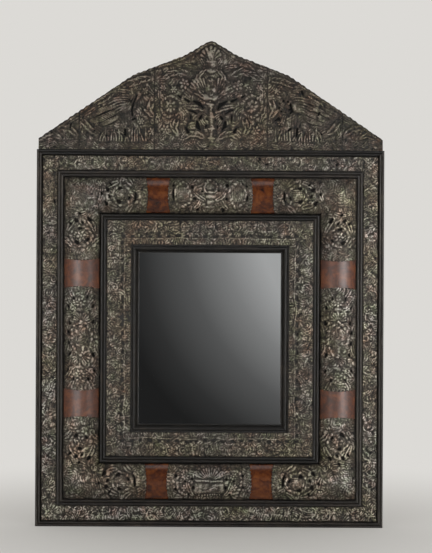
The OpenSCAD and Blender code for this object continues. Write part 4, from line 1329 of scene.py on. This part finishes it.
# How far the shell's face lies from where a plain metal sheet's would, and its ends under the plaques
SHELL_LIFT = -0.75
TUCK = 0.5
shell_panels = []
for name, upright, out in SIDES:
    bm = bmesh.new()
    mid, panel = (MID_X, LONG_PANEL) if upright else (MID_Z, SHORT_PANEL)
    across = (out * mid - CUSHION_HALF, out * mid + CUSHION_HALF)
    for end in (-1, 1):
        lengthways = sorted((end * (panel[0] - TUCK), end * (panel[1] + TUCK)))
        side_grid(bm, upright, across, lengthways, SHELL_CELL)
    piece_name, node = f"tortoiseshell_panels_{name}", f"tortoiseshell_{name}"
    mesh = make_mesh(bm, piece_name)
    x, z = flat_places(mesh)
    uneven = 0.10 * np.sin(x / 7.3 + z / 11) * np.sin(z / 8.1 - x / 13)
    mesh.vertices.foreach_set("co", on_frame(x, z, SHELL_LIFT + uneven).ravel())
    shell_panels.append(finish_piece(piece_name, mesh, "frame", node, SHEET_T))
print("tortoiseshell:", len(shell_panels), "pieces of two panels")

# %% [markdown]
# ## Finishes
# Each finish starts from what the real one is and how its surface was made. The patterns read Object
# coordinates, which are metres here, so a scale of 1000 over a size in millimetres gives a pattern of that
# size.

# %% Make one helper for colours and one for nodes
def paint(code, alpha=1.0):
    """An sRGB hex colour as the linear values that a shader takes."""
    channels = [int(code[i:i + 2], 16) / 255 for i in (1, 3, 5)]
    linear = [c / 12.92 if c <= 0.04045 else ((c + 0.055) / 1.055) ** 2.4 for c in channels]
    return (*linear, alpha)


def add_node(tree, kind, inputs=None, stops=None, **settings):
    """Adds a node with its settings. An input is a value or the output that it comes from."""
    node = tree.nodes.new(kind)
    for name, value in settings.items():
        setattr(node, name, value)
    for name, value in (inputs or {}).items():
        socket = node.inputs[name]
        if isinstance(value, bpy.types.NodeSocket):
            tree.links.new(value, socket)
        else:
            socket.default_value = value
    if stops:
        marks = node.color_ramp.elements
        while len(marks) < len(stops):
            marks.new(0.5)
        for mark, (place, colour) in zip(marks, stops):
            mark.position = place
            mark.color = paint(colour)
    return node


def new_finish(name):
    """A material with its shader, and the outputs that its patterns start from."""
    material = bpy.data.materials.new(name)
    material.use_nodes = True
    tree = material.node_tree
    place = add_node(tree, "ShaderNodeTexCoord").outputs["Object"]
    return material, tree, tree.nodes["Principled BSDF"], place


print("a shader takes #808080 as", round(paint("#808080")[0], 3))

# %% [markdown]
# The metal is thin brass sheet, silvered once and tarnished since: worn bright on its ridges, and almost
# black where polish and dust have packed into the hollows. The patina was worked out with the heights, and
# with it the painted shade along the bands' edges, in the crest's seams and towards the crest's ends, so the
# shader reads both from the mesh, and noise at the size of a thumbprint turns it greenish, pinkish or brown
# from place to place.

# %% Tarnished embossed brass sheet
def tarnished_brass(name, tones, tints):
    """Brass sheet toned by its tarnish and painted shade, with pits and painted glints, tinted from place to
    place.
    """
    finish, tree, shader, place = new_finish(name)
    patina = add_node(tree, "ShaderNodeAttribute", attribute_name="patina").outputs["Fac"]
    blotch = add_node(tree, "ShaderNodeTexNoise", {"Vector": place, "Scale": 1000 / 34, "Detail": 6.0,
                                                   "Roughness": 0.72})
    speck = add_node(tree, "ShaderNodeTexNoise", {"Vector": place, "Scale": 1000 / 5, "Detail": 2.0,
                                                  "Roughness": 0.75})
    wear = add_node(tree, "ShaderNodeMapRange", {
        "Value": speck.outputs["Fac"], "From Min": 0.3, "From Max": 0.7, "To Min": -0.16, "To Max": 0.16})
    pit = add_node(tree, "ShaderNodeTexNoise", {
        "Vector": place, "Scale": 1000 / 8, "Detail": 2.0, "Roughness": 0.7})
    pitted = add_node(tree, "ShaderNodeMapRange", {
        "Value": pit.outputs["Fac"], "From Min": 0.60, "From Max": 0.70, "To Min": 0.0, "To Max": -0.55})
    # Painted highlights: the glints are bright spots added to the base colour
    painted_glint = add_node(tree, "ShaderNodeMapRange", {
        "Value": pit.outputs["Fac"], "From Min": 0.36, "From Max": 0.28, "To Min": 0.0, "To Max": 0.32})
    marks = add_node(tree, "ShaderNodeMath", {0: pitted.outputs["Result"], 1: painted_glint.outputs["Result"]},
                     operation="ADD")
    worn = add_node(tree, "ShaderNodeMath", {
        0: wear.outputs["Result"], 1: marks.outputs["Value"]}, operation="ADD")
    level = add_node(tree, "ShaderNodeMath", {
        0: patina, 1: worn.outputs["Value"]}, operation="ADD", use_clamp=True)
    tone = add_node(tree, "ShaderNodeValToRGB", {"Fac": level.outputs["Value"]}, tones)
    tint = add_node(tree, "ShaderNodeValToRGB", {"Fac": blotch.outputs["Fac"]}, tints)
    tinted = add_node(tree, "ShaderNodeMix", {
        "Factor": 1.0, "A": tone.outputs["Color"], "B": tint.outputs["Color"]}, data_type="RGBA",
        blend_type="MULTIPLY")
    broad = add_node(tree, "ShaderNodeTexNoise", {"Vector": place, "Scale": 1000 / 85, "Detail": 3.0})
    stain = add_node(tree, "ShaderNodeValToRGB", {"Fac": broad.outputs["Fac"]}, STAINS)
    colour = add_node(tree, "ShaderNodeMix", {
        "Factor": 1.0, "A": tinted.outputs["Result"], "B": stain.outputs["Color"]}, data_type="RGBA",
        blend_type="MULTIPLY")
    rough = add_node(tree, "ShaderNodeMapRange", {
        "Value": level.outputs["Value"], "From Min": 0.3, "From Max": 0.9, "To Min": 0.66, "To Max": 0.42})
    bare = add_node(tree, "ShaderNodeMapRange", {
        "Value": level.outputs["Value"], "From Min": 0.15, "From Max": 0.6, "To Min": 0.25, "To Max": 0.8})
    matting = add_node(tree, "ShaderNodeTexVoronoi", {"Vector": place, "Scale": 1000 / 1.6})
    bump = add_node(tree, "ShaderNodeBump", {"Strength": 0.35, "Distance": 0.0006,
                                             "Height": matting.outputs["Distance"]})
    tree.links.new(colour.outputs["Result"], shader.inputs["Base Color"])
    tree.links.new(rough.outputs["Result"], shader.inputs["Roughness"])
    tree.links.new(bare.outputs["Result"], shader.inputs["Metallic"])
    tree.links.new(bump.outputs["Normal"], shader.inputs["Normal"])
    return finish


STAINS = [(0.36, "#f6f8ff"), (0.5, "#fffefb"), (0.64, "#fff7ea")]
TINTS = [(0.3, "#dcecd2"), (0.42, "#ecf1e6"), (0.52, "#f4f1ef"), (0.62, "#f7e4df"), (0.72, "#ead0bc")]
frame_metal = tarnished_brass("TarnishedEmbossedBrass", [
    (0.0, "#0d0b0a"), (0.28, "#3a352e"), (0.5, "#57524a"), (0.72, "#757068"), (1.0, "#b4aea4")], TINTS)
crest_metal = tarnished_brass("TarnishedEmbossedBrassDull", [
    (0.0, "#0c0a09"), (0.28, "#332e28"), (0.5, "#4c463f"), (0.72, "#666058"), (1.0, "#9c958b")], TINTS)
for piece in embossed:
    piece.data.materials.append(crest_metal if "crest" in piece.name else frame_metal)
pin_brass, tree, shader, place = new_finish("WornBrassPins")
worn = add_node(tree, "ShaderNodeTexNoise", {"Vector": place, "Scale": 1000 / 30, "Detail": 3.0})
tone = add_node(tree, "ShaderNodeValToRGB", {"Fac": worn.outputs["Fac"]},
                [(0.35, "#4a463e"), (0.5, "#7a7468"), (0.65, "#b2a98f")])
tree.links.new(tone.outputs["Color"], shader.inputs["Base Color"])
shader.inputs["Metallic"].default_value = 0.8
shader.inputs["Roughness"].default_value = 0.42
for piece in pins:
    piece.data.materials.append(pin_brass)
print("metal on", len(embossed), "sheets")

# %% [markdown]
# Ebonised pearwood is stained black and waxed. It is never pure black: the stain is brown-grey in the
# patches where it has worn, and fine streaks run along the grain. One function makes the finish, with the
# grain upright or level. The level copies are painted darker, as painted shade for light that falls from
# the sides, and the mouldings that lie low near the glass and under the crest get darker copies again, as
# painted shade.

# %% Ebonised pearwood
def along_grain(upright, across, lengthways):
    """The scale of a pattern with that size in mm, drawn out along an upright or a level grain."""
    across, lengthways = 1000 / across, 1000 / lengthways
    return (across, across, lengthways) if upright else (lengthways, across, across)


def ebonised(name, upright, tones):
    """Wood stained black, streaked along its grain and worn in patches."""
    finish, tree, shader, place = new_finish(name)
    grain = along_grain(upright, 6, 140)
    stretch = add_node(tree, "ShaderNodeMapping", {"Vector": place, "Scale": grain})
    streak = add_node(tree, "ShaderNodeTexNoise", {
        "Vector": stretch.outputs["Vector"], "Scale": 1.0, "Detail": 4.0})
    rub = add_node(tree, "ShaderNodeTexNoise", {
        "Vector": place, "Scale": 1000 / 28, "Detail": 3.0, "Roughness": 0.65})
    mixed = add_node(tree, "ShaderNodeMath", {
        0: streak.outputs["Fac"], 1: rub.outputs["Fac"]}, operation="ADD")
    half = add_node(tree, "ShaderNodeMath", {0: mixed.outputs["Value"], 1: 0.5}, operation="MULTIPLY")
    tone = add_node(tree, "ShaderNodeValToRGB", {"Fac": half.outputs["Value"]}, tones)
    rough = add_node(tree, "ShaderNodeMapRange", {
        "Value": rub.outputs["Fac"], "From Min": 0.3, "From Max": 0.7, "To Min": 0.46, "To Max": 0.62})
    bump = add_node(tree, "ShaderNodeBump", {
        "Strength": 0.25, "Distance": 0.0004, "Height": streak.outputs["Fac"]})
    tree.links.new(tone.outputs["Color"], shader.inputs["Base Color"])
    tree.links.new(rough.outputs["Result"], shader.inputs["Roughness"])
    tree.links.new(bump.outputs["Normal"], shader.inputs["Normal"])
    shader.inputs["Specular IOR Level"].default_value = 0.35
    shader.inputs["Coat Weight"].default_value = 0.06
    shader.inputs["Coat Roughness"].default_value = 0.4
    return finish


def dress(node, finish):
    """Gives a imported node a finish."""
    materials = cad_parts[node].data.materials
    materials.clear()
    materials.append(finish)


black_upright = ebonised("EbonisedPearwoodUpright", True,
                         [(0.3, "#191613"), (0.5, "#2b2723"), (0.62, "#3e3932"), (0.75, "#564c41")])
# The level black is painted darker than the upright one: painted shade, for light that falls from the sides
black_level_painted_shade = ebonised("EbonisedPearwoodLevelPaintedShade", False,
                       [(0.3, "#0f0d0b"), (0.5, "#201c19"), (0.62, "#332d27"), (0.75, "#4a4036")])
# The inner blacks are painted darker still: painted shade on the mouldings that lie low, between the cushion
# and the inner band and round the glass
inner_upright_painted_shade = ebonised("EbonisedPearwoodInnerUpright", True,
                         [(0.3, "#0c0a08"), (0.5, "#191613"), (0.62, "#28231e"), (0.75, "#3b332b")])
inner_level_painted_shade = ebonised("EbonisedPearwoodInnerLevelPaintedShade", False,
                       [(0.3, "#080706"), (0.5, "#12100e"), (0.62, "#1e1a16"), (0.75, "#2f2922")])
for kind, upright_black, level_black_painted_shade in (
        ("edge_moulding", black_upright, black_level_painted_shade), ("outer_moulding", black_upright, black_level_painted_shade),
        ("inner_moulding", inner_upright_painted_shade, inner_level_painted_shade), ("inner_frame", inner_upright_painted_shade, inner_level_painted_shade)):
    for name, upright, _ in SIDES:
        dress(f"{kind}_{name}", upright_black if upright else level_black_painted_shade)
# The top edge moulding takes the darkest black: painted shade under the crest
dress("edge_moulding_top", inner_level_painted_shade)

# The cushion is blackened and never polished, because metal and shell cover it
ground, tree, shader, place = new_finish("BlackenedCushionWood")
dust = add_node(tree, "ShaderNodeTexNoise", {"Vector": place, "Scale": 1000 / 12, "Detail": 4.0})
tone = add_node(tree, "ShaderNodeValToRGB", {
    "Fac": dust.outputs["Fac"]}, [(0.35, "#0b0a09"), (0.7, "#1c1915")])
tree.links.new(tone.outputs["Color"], shader.inputs["Base Color"])
shader.inputs["Roughness"].default_value = 0.85
shader.inputs["Specular IOR Level"].default_value = 0.2
for name, _, _ in SIDES:
    dress(f"cushion_{name}", ground)
print("black on 16 mouldings and frames and 4 cushions")

# %% [markdown]
# Tortoiseshell is a clear horn over red foil: amber where it is clear, red-brown to almost black in its
# clouds, and polished. The clouds are 10 to 25 mm across, with soft edges, and the polish is a clear coat
# over a soft colour. The panels on the upright sides are scuffed, so their highlights spread wide and pale.

# %% Polished tortoiseshell over red foil
def tortoiseshell(name, dulled, sheen):
    """Clouded horn under a polish that is dulled more or less, with the sheen of its scuffs."""
    finish, tree, shader, place = new_finish(name)
    cloud = add_node(tree, "ShaderNodeTexNoise", {
        "Vector": place, "Scale": 1000 / 30, "Detail": 3.0, "Roughness": 0.55, "Distortion": 1.2})
    fleck = add_node(tree, "ShaderNodeTexNoise", {"Vector": place, "Scale": 1000 / 7, "Detail": 2.0})
    mixed = add_node(tree, "ShaderNodeMix", {
        "Factor": 0.3, "A": cloud.outputs["Fac"], "B": fleck.outputs["Fac"]}, data_type="FLOAT")
    tone = add_node(tree, "ShaderNodeValToRGB", {"Fac": mixed.outputs["Result"]},
                    [(0.34, "#270f05"), (0.44, "#3d1a07"), (0.52, "#502509"), (0.64, "#63340f")])
    tree.links.new(tone.outputs["Color"], shader.inputs["Base Color"])
    ripple = add_node(tree, "ShaderNodeTexNoise", {"Vector": place, "Scale": 1000 / 9, "Detail": 3.0})
    bump = add_node(tree, "ShaderNodeBump", {
        "Strength": 0.5, "Distance": 0.0006, "Height": ripple.outputs["Fac"]})
    tree.links.new(bump.outputs["Normal"], shader.inputs["Coat Normal"])
    shader.inputs["Roughness"].default_value = 0.62
    shader.inputs["IOR"].default_value = 1.55
    shader.inputs["Specular IOR Level"].default_value = sheen
    shader.inputs["Specular Tint"].default_value = paint("#ffd9cc")
    shader.inputs["Coat Weight"].default_value = 1.0
    shader.inputs["Coat Roughness"].default_value = dulled
    return finish


level_horn = tortoiseshell("PolishedTortoiseshell", 0.2, 0.05)
upright_horn = tortoiseshell("PolishedTortoiseshellScuffed", 0.42, 0.55)
for piece in shell_panels:
    piece.data.materials.append(upright_horn if piece.name.endswith(("left", "right")) else level_horn)
print("tortoiseshell on", len(shell_panels), "pieces")

# %% [markdown]
# The carcass and boards are oak, never finished, grey-brown with age. Its grain is long dark streaks with
# short pores. The front of the carcass and of the crest board is blackened, so that no pale wood shows
# through the pierced metal.

# %% Aged oak, blackened where it lies under the metal
def oak(name, upright, black_front, shift):
    """Aged oak with its own stretch of grain, and black where it lies further forward than a depth."""
    finish, tree, shader, place = new_finish(name)
    grain = along_grain(upright, 9, 260)
    stretch = add_node(tree, "ShaderNodeMapping", {"Vector": place, "Scale": grain, "Location": shift})
    streak = add_node(tree, "ShaderNodeTexNoise", {
        "Vector": stretch.outputs["Vector"], "Scale": 1.0, "Detail": 6.0, "Roughness": 0.62,
        "Distortion": 0.3})
    narrow = add_node(tree, "ShaderNodeMapping", {
        "Vector": place, "Scale": along_grain(upright, 1.1, 16), "Location": shift})
    pores = add_node(tree, "ShaderNodeTexNoise", {
        "Vector": narrow.outputs["Vector"], "Scale": 1.0, "Detail": 2.0})
    tone = add_node(tree, "ShaderNodeValToRGB", {"Fac": streak.outputs["Fac"]},
                    [(0.3, "#4a3825"), (0.45, "#6a5338"), (0.58, "#836a49"), (0.72, "#93795a")])
    dark = add_node(tree, "ShaderNodeValToRGB", {
        "Fac": pores.outputs["Fac"]}, [(0.36, "#5a5048"), (0.5, "#ffffff")])
    wood = add_node(tree, "ShaderNodeMix", {
        "Factor": 0.8, "A": tone.outputs["Color"], "B": dark.outputs["Color"]}, data_type="RGBA",
        blend_type="MULTIPLY")
    depth = add_node(tree, "ShaderNodeSeparateXYZ", {"Vector": place}).outputs["Y"]
    under = add_node(tree, "ShaderNodeMath", {0: depth, 1: black_front}, operation="LESS_THAN")
    shown = add_node(tree, "ShaderNodeMix", {"Factor": under.outputs["Value"], "A": wood.outputs["Result"],
                                             "B": paint("#080706")}, data_type="RGBA")
    bump = add_node(tree, "ShaderNodeBump", {
        "Strength": 0.4, "Distance": 0.0005, "Height": pores.outputs["Fac"]})
    tree.links.new(shown.outputs["Result"], shader.inputs["Base Color"])
    tree.links.new(bump.outputs["Normal"], shader.inputs["Normal"])
    shader.inputs["Roughness"].default_value = 0.72
    shader.inputs["Specular IOR Level"].default_value = 0.2
    return finish


# The depths past which the wood is blackened, in metres, and one that no wood reaches
CARCASS_FRONT, CREST_BOARD_FRONT, NEVER = -0.0238, -0.0258, -1.0
for node, upright, black_front in (
        ("carcass_left_stile", True, CARCASS_FRONT), ("carcass_right_stile", True, CARCASS_FRONT),
        ("carcass_top_rail", False, CARCASS_FRONT), ("carcass_bottom_rail", False, CARCASS_FRONT),
        ("crest_board", False, CREST_BOARD_FRONT), ("glass_blocks", False, NEVER),
        ("crest_battens", True, NEVER),
        ("backboard_lower", False, NEVER), ("backboard_middle", False, NEVER),
        ("backboard_upper", False, NEVER)):
    shift = (3.1 * len(node), 1.7 * len(node), 2.3 * len(node))
    dress(node, oak("AgedOak_" + node, upright, black_front, shift))
print("oak on 10 nodes")

# %% [markdown]
# The ironwork is forged: dark scale with soft hammer marks, and brown rust where the scale has gone. The
# mirror glass is flat silvered glass, so it is almost a perfect metal mirror with a slight grey.

# %% Forged iron and silvered glass
iron, tree, shader, place = new_finish("ForgedIron")
rust = add_node(tree, "ShaderNodeTexNoise", {
    "Vector": place, "Scale": 1000 / 9, "Detail": 4.0, "Roughness": 0.7})
tone = add_node(tree, "ShaderNodeValToRGB", {"Fac": rust.outputs["Fac"]},
                [(0.35, "#2b2826"), (0.52, "#45403b"), (0.62, "#5b4232"), (0.75, "#6e4a30")])
scale = add_node(tree, "ShaderNodeMapRange", {
    "Value": rust.outputs["Fac"], "From Min": 0.45, "From Max": 0.65, "To Min": 0.9, "To Max": 0.2})
dent = add_node(tree, "ShaderNodeTexNoise", {"Vector": place, "Scale": 1000 / 4, "Detail": 1.0})
bump = add_node(tree, "ShaderNodeBump", {
    "Strength": 0.4, "Distance": 0.0008, "Height": dent.outputs["Fac"]})
tree.links.new(tone.outputs["Color"], shader.inputs["Base Color"])
tree.links.new(scale.outputs["Result"], shader.inputs["Metallic"])
tree.links.new(bump.outputs["Normal"], shader.inputs["Normal"])
shader.inputs["Roughness"].default_value = 0.55
for node in ("backboard_nails", "crest_screws", "crest_keepers", "hanging_eyes", "hanging_ring_left",
             "hanging_ring_right"):
    dress(node, iron)

silvered, tree, shader, place = new_finish("SilveredGlass")
shader.inputs["Base Color"].default_value = paint("#e4e6e6")
shader.inputs["Metallic"].default_value = 1.0
fog = add_node(tree, "ShaderNodeTexNoise", {"Vector": place, "Scale": 1000 / 60, "Detail": 3.0})
haze = add_node(tree, "ShaderNodeMapRange", {"Value": fog.outputs["Fac"], "From Min": 0.4, "From Max": 0.8,
                                             "To Min": 0.01, "To Max": 0.05})
tree.links.new(haze.outputs["Result"], shader.inputs["Roughness"])
dress("mirror_glass", silvered)
print("iron and glass finished")

# %% [markdown]
# ## Floor, light and camera
# The floor is plain and pale, and fades into the same pale grey as the sky that the camera sees, so that no
# horizon shows.

# %% Lay the floor
FLOOR_Z = -HALF_H * MM
FLOOR_R = 14.0
PALE = "#dcdad6"
# In metres, how far out the floor has faded, and the depths between which its reflections fade
FADED_AT = 1.5
FADES_BEHIND = (-0.2, 0.6)
bm = bmesh.new()
bmesh.ops.create_circle(bm, cap_ends=True, segments=64, radius=FLOOR_R)
bmesh.ops.translate(bm, verts=bm.verts, vec=(0, 0, FLOOR_Z))
floor = put_in_scene("studio_floor", make_mesh(bm, "studio_floor"))
matte, tree, shader, place = new_finish("PaleMattePaper")
shader.inputs["Base Color"].default_value = paint(PALE)
shader.inputs["Roughness"].default_value = 0.9
reach = add_node(tree, "ShaderNodeVectorMath", {0: place}, operation="LENGTH")
fade = add_node(tree, "ShaderNodeMapRange", {
    "Value": reach.outputs["Value"], "From Min": 0.0, "From Max": FADED_AT},
    interpolation_type="SMOOTHSTEP")
deep = add_node(tree, "ShaderNodeSeparateXYZ", {"Vector": place}).outputs["Y"]
behind = add_node(tree, "ShaderNodeMapRange", {
    "Value": deep, "From Min": FADES_BEHIND[0], "From Max": FADES_BEHIND[1]})
# The camera sees the light in place of the paper, and so do reflections of what lies behind the mirror
ray = add_node(tree, "ShaderNodeLightPath")
gloss = add_node(tree, "ShaderNodeMath", {0: ray.outputs["Is Glossy Ray"], 1: behind.outputs["Result"]},
                 operation="MULTIPLY")
seen = add_node(tree, "ShaderNodeMath", {0: ray.outputs["Is Camera Ray"], 1: gloss.outputs["Value"]},
                operation="MAXIMUM")
seen = add_node(tree, "ShaderNodeMath", {0: seen.outputs["Value"], 1: ray.outputs["Is Transmission Ray"]},
                operation="MAXIMUM")
blend = add_node(tree, "ShaderNodeMath", {
    0: fade.outputs["Result"], 1: seen.outputs["Value"]}, operation="MULTIPLY")
glow = add_node(tree, "ShaderNodeEmission", {"Color": paint(PALE), "Strength": 1.0})
both = add_node(tree, "ShaderNodeMixShader", {0: blend.outputs["Value"], 1: shader.outputs["BSDF"],
                                              2: glow.outputs["Emission"]})
tree.links.new(both.outputs["Shader"], tree.nodes["Material Output"].inputs["Surface"])
floor.data.materials.append(matte)
print("floor at", FLOOR_Z, "m")

# %% [markdown]
# The sky is the even fill of a studio. Reflections see a dimmer one, and the dimmest in front of the
# mirror, because a bright one would turn the black mouldings grey.

# %% Set the sky, pale behind the mirror and dim in front of it
world = bpy.data.worlds.new("studio")
bpy.context.scene.world = world
world.use_nodes = True
tree = world.node_tree
sky = tree.nodes["Background"]
FILL = 0.67
# How bright reflections see it in front of the mirror and behind it
SKY_IN_FRONT, SKY_BEHIND = 0.13, 0.5
heading = add_node(tree, "ShaderNodeTexCoord").outputs["Generated"]
way = add_node(tree, "ShaderNodeSeparateXYZ", {"Vector": heading})
behind = add_node(tree, "ShaderNodeMapRange", {
    "Value": way.outputs["Y"], "From Min": -0.1, "From Max": 0.25, "To Min": SKY_IN_FRONT,
    "To Max": SKY_BEHIND})
ray = add_node(tree, "ShaderNodeLightPath")
unlit = add_node(tree, "ShaderNodeMix", {"Factor": ray.outputs["Is Glossy Ray"], "A": FILL,
                                         "B": behind.outputs["Result"]}, data_type="FLOAT")
shown = add_node(tree, "ShaderNodeMix", {
    "Factor": ray.outputs["Is Camera Ray"], "A": unlit.outputs["Result"], "B": 1.0}, data_type="FLOAT")
sky.inputs["Color"].default_value = paint(PALE)
tree.links.new(shown.outputs["Result"], sky.inputs["Strength"])
print("sky fills at", FILL)

# %% [markdown]
# Two tall soft lamps stand left and right in front of the mirror, as the highlights on the real panels
# show, and a third hangs above it.

# %% Hang two tall soft lamps at the sides and one above
SIDE_LAMP = {"width": 1.3, "height": 1.8, "spread": 44}


def soft_lamp(name, place, aim, power, width, height, spread=180):
    """A rectangular lamp that is aimed at a point. Its spread is the angle of its beam in degrees."""
    light = bpy.data.lights.new(name, "AREA")
    light.shape, light.size, light.size_y = "RECTANGLE", width, height
    light.energy = power
    light.spread = math.radians(spread)
    lamp = put_in_scene(name, light)
    lamp.location = place
    lamp.rotation_euler = (Vector(aim) - Vector(place)).to_track_quat("-Z", "Y").to_euler()


soft_lamp("lamp_left", (-1.26, -1.8, -0.05), (-0.62, 0, -0.1), 4.3, **SIDE_LAMP)
soft_lamp("lamp_right", (1.56, -1.75, -0.05), (0.78, 0, -0.1), 7.4, **SIDE_LAMP)
soft_lamp("lamp_top", (0.0, -1.1, 2.5), (0, 0, 0.3), 6, width=1.8, height=0.9)
print("three soft lamps")

# %% [markdown]
# The glass mirrors a grey card that stands between it and the camera. Only reflections see the card, and it
# is brighter towards its upper right, because the real glass is.

# %% Hang the grey card that the glass mirrors
CARD_AT = (0.0, -2.2, -0.075)
CARD_HALF = (0.40, 0.36)
# The card's light grows along one direction, from 0 to 1 over a metre, and is lost to both sides of a line
GROWS_ALONG, GROWS_FROM = (1.674, 0.0, 0.7505), -0.5391
LOST_ACROSS, LOST_LINE, LOSS = (-1.904, 0.0, 2.890), -0.1648, 0.1047
bm = bmesh.new()
standing = Matrix.Translation(CARD_AT) @ Matrix.Rotation(math.radians(90), 4, "X")
place = standing @ Matrix.Diagonal((*CARD_HALF, 1, 1))
bmesh.ops.create_grid(bm, x_segments=1, y_segments=1, size=1, matrix=place)
card = put_in_scene("grey_card", make_mesh(bm, "grey_card"))
card.visible_camera = card.visible_diffuse = card.visible_shadow = False
card.visible_transmission = card.visible_volume_scatter = False
lit, tree, shader, place = new_finish("GreyCard")
lean = add_node(tree, "ShaderNodeVectorMath", {0: place, 1: GROWS_ALONG}, operation="DOT_PRODUCT")
tone = add_node(tree, "ShaderNodeMapRange", {
    "Value": lean.outputs["Value"], "From Min": GROWS_FROM, "From Max": GROWS_FROM + 1})
across = add_node(tree, "ShaderNodeVectorMath", {0: place, 1: LOST_ACROSS}, operation="DOT_PRODUCT")
aside = add_node(tree, "ShaderNodeMath", {0: across.outputs["Value"], 1: LOST_LINE}, operation="ADD")
square = add_node(tree, "ShaderNodeMath", {
    0: aside.outputs["Value"], 1: aside.outputs["Value"]}, operation="MULTIPLY")
loss = add_node(tree, "ShaderNodeMath", {0: square.outputs["Value"], 1: LOSS}, operation="MULTIPLY")
left_over = add_node(tree, "ShaderNodeMath", {0: tone.outputs["Result"], 1: loss.outputs["Value"]},
                     operation="SUBTRACT")
grey = add_node(tree, "ShaderNodeValToRGB", {"Fac": left_over.outputs["Value"]},
                [(0.0, "#222222"), (0.2, "#363636"), (0.5, "#5d5d5d"), (0.75, "#878787"), (1.0, "#b1b1b1")])
glow = add_node(tree, "ShaderNodeEmission", {"Color": grey.outputs["Color"], "Strength": 1.0})
tree.links.new(glow.outputs["Emission"], tree.nodes["Material Output"].inputs["Surface"])
card.data.materials.append(lit)
print("grey card", -CARD_AT[1], "m in front of the glass")

# %% [markdown]
# The camera stands 4 m in front of the mirror, near the height of its middle, and looks straight at it
# through a long lens, so that the sides of the frame stay almost parallel.

# %% Set the camera
CAMERA_AT = (0.0138, -4.034, 0.1429)
LENS = 113.2
SENSOR_W = 36.0
ROLL = -0.3
lens = bpy.data.cameras.new("camera")
lens.lens = LENS
lens.sensor_width = SENSOR_W
camera = put_in_scene("camera", lens)
camera.location = CAMERA_AT
camera.rotation_euler = (math.radians(90), math.radians(ROLL), 0)
bpy.context.scene.camera = camera
bpy.context.scene.view_settings.view_transform = "Standard"
print("camera at", CAMERA_AT)
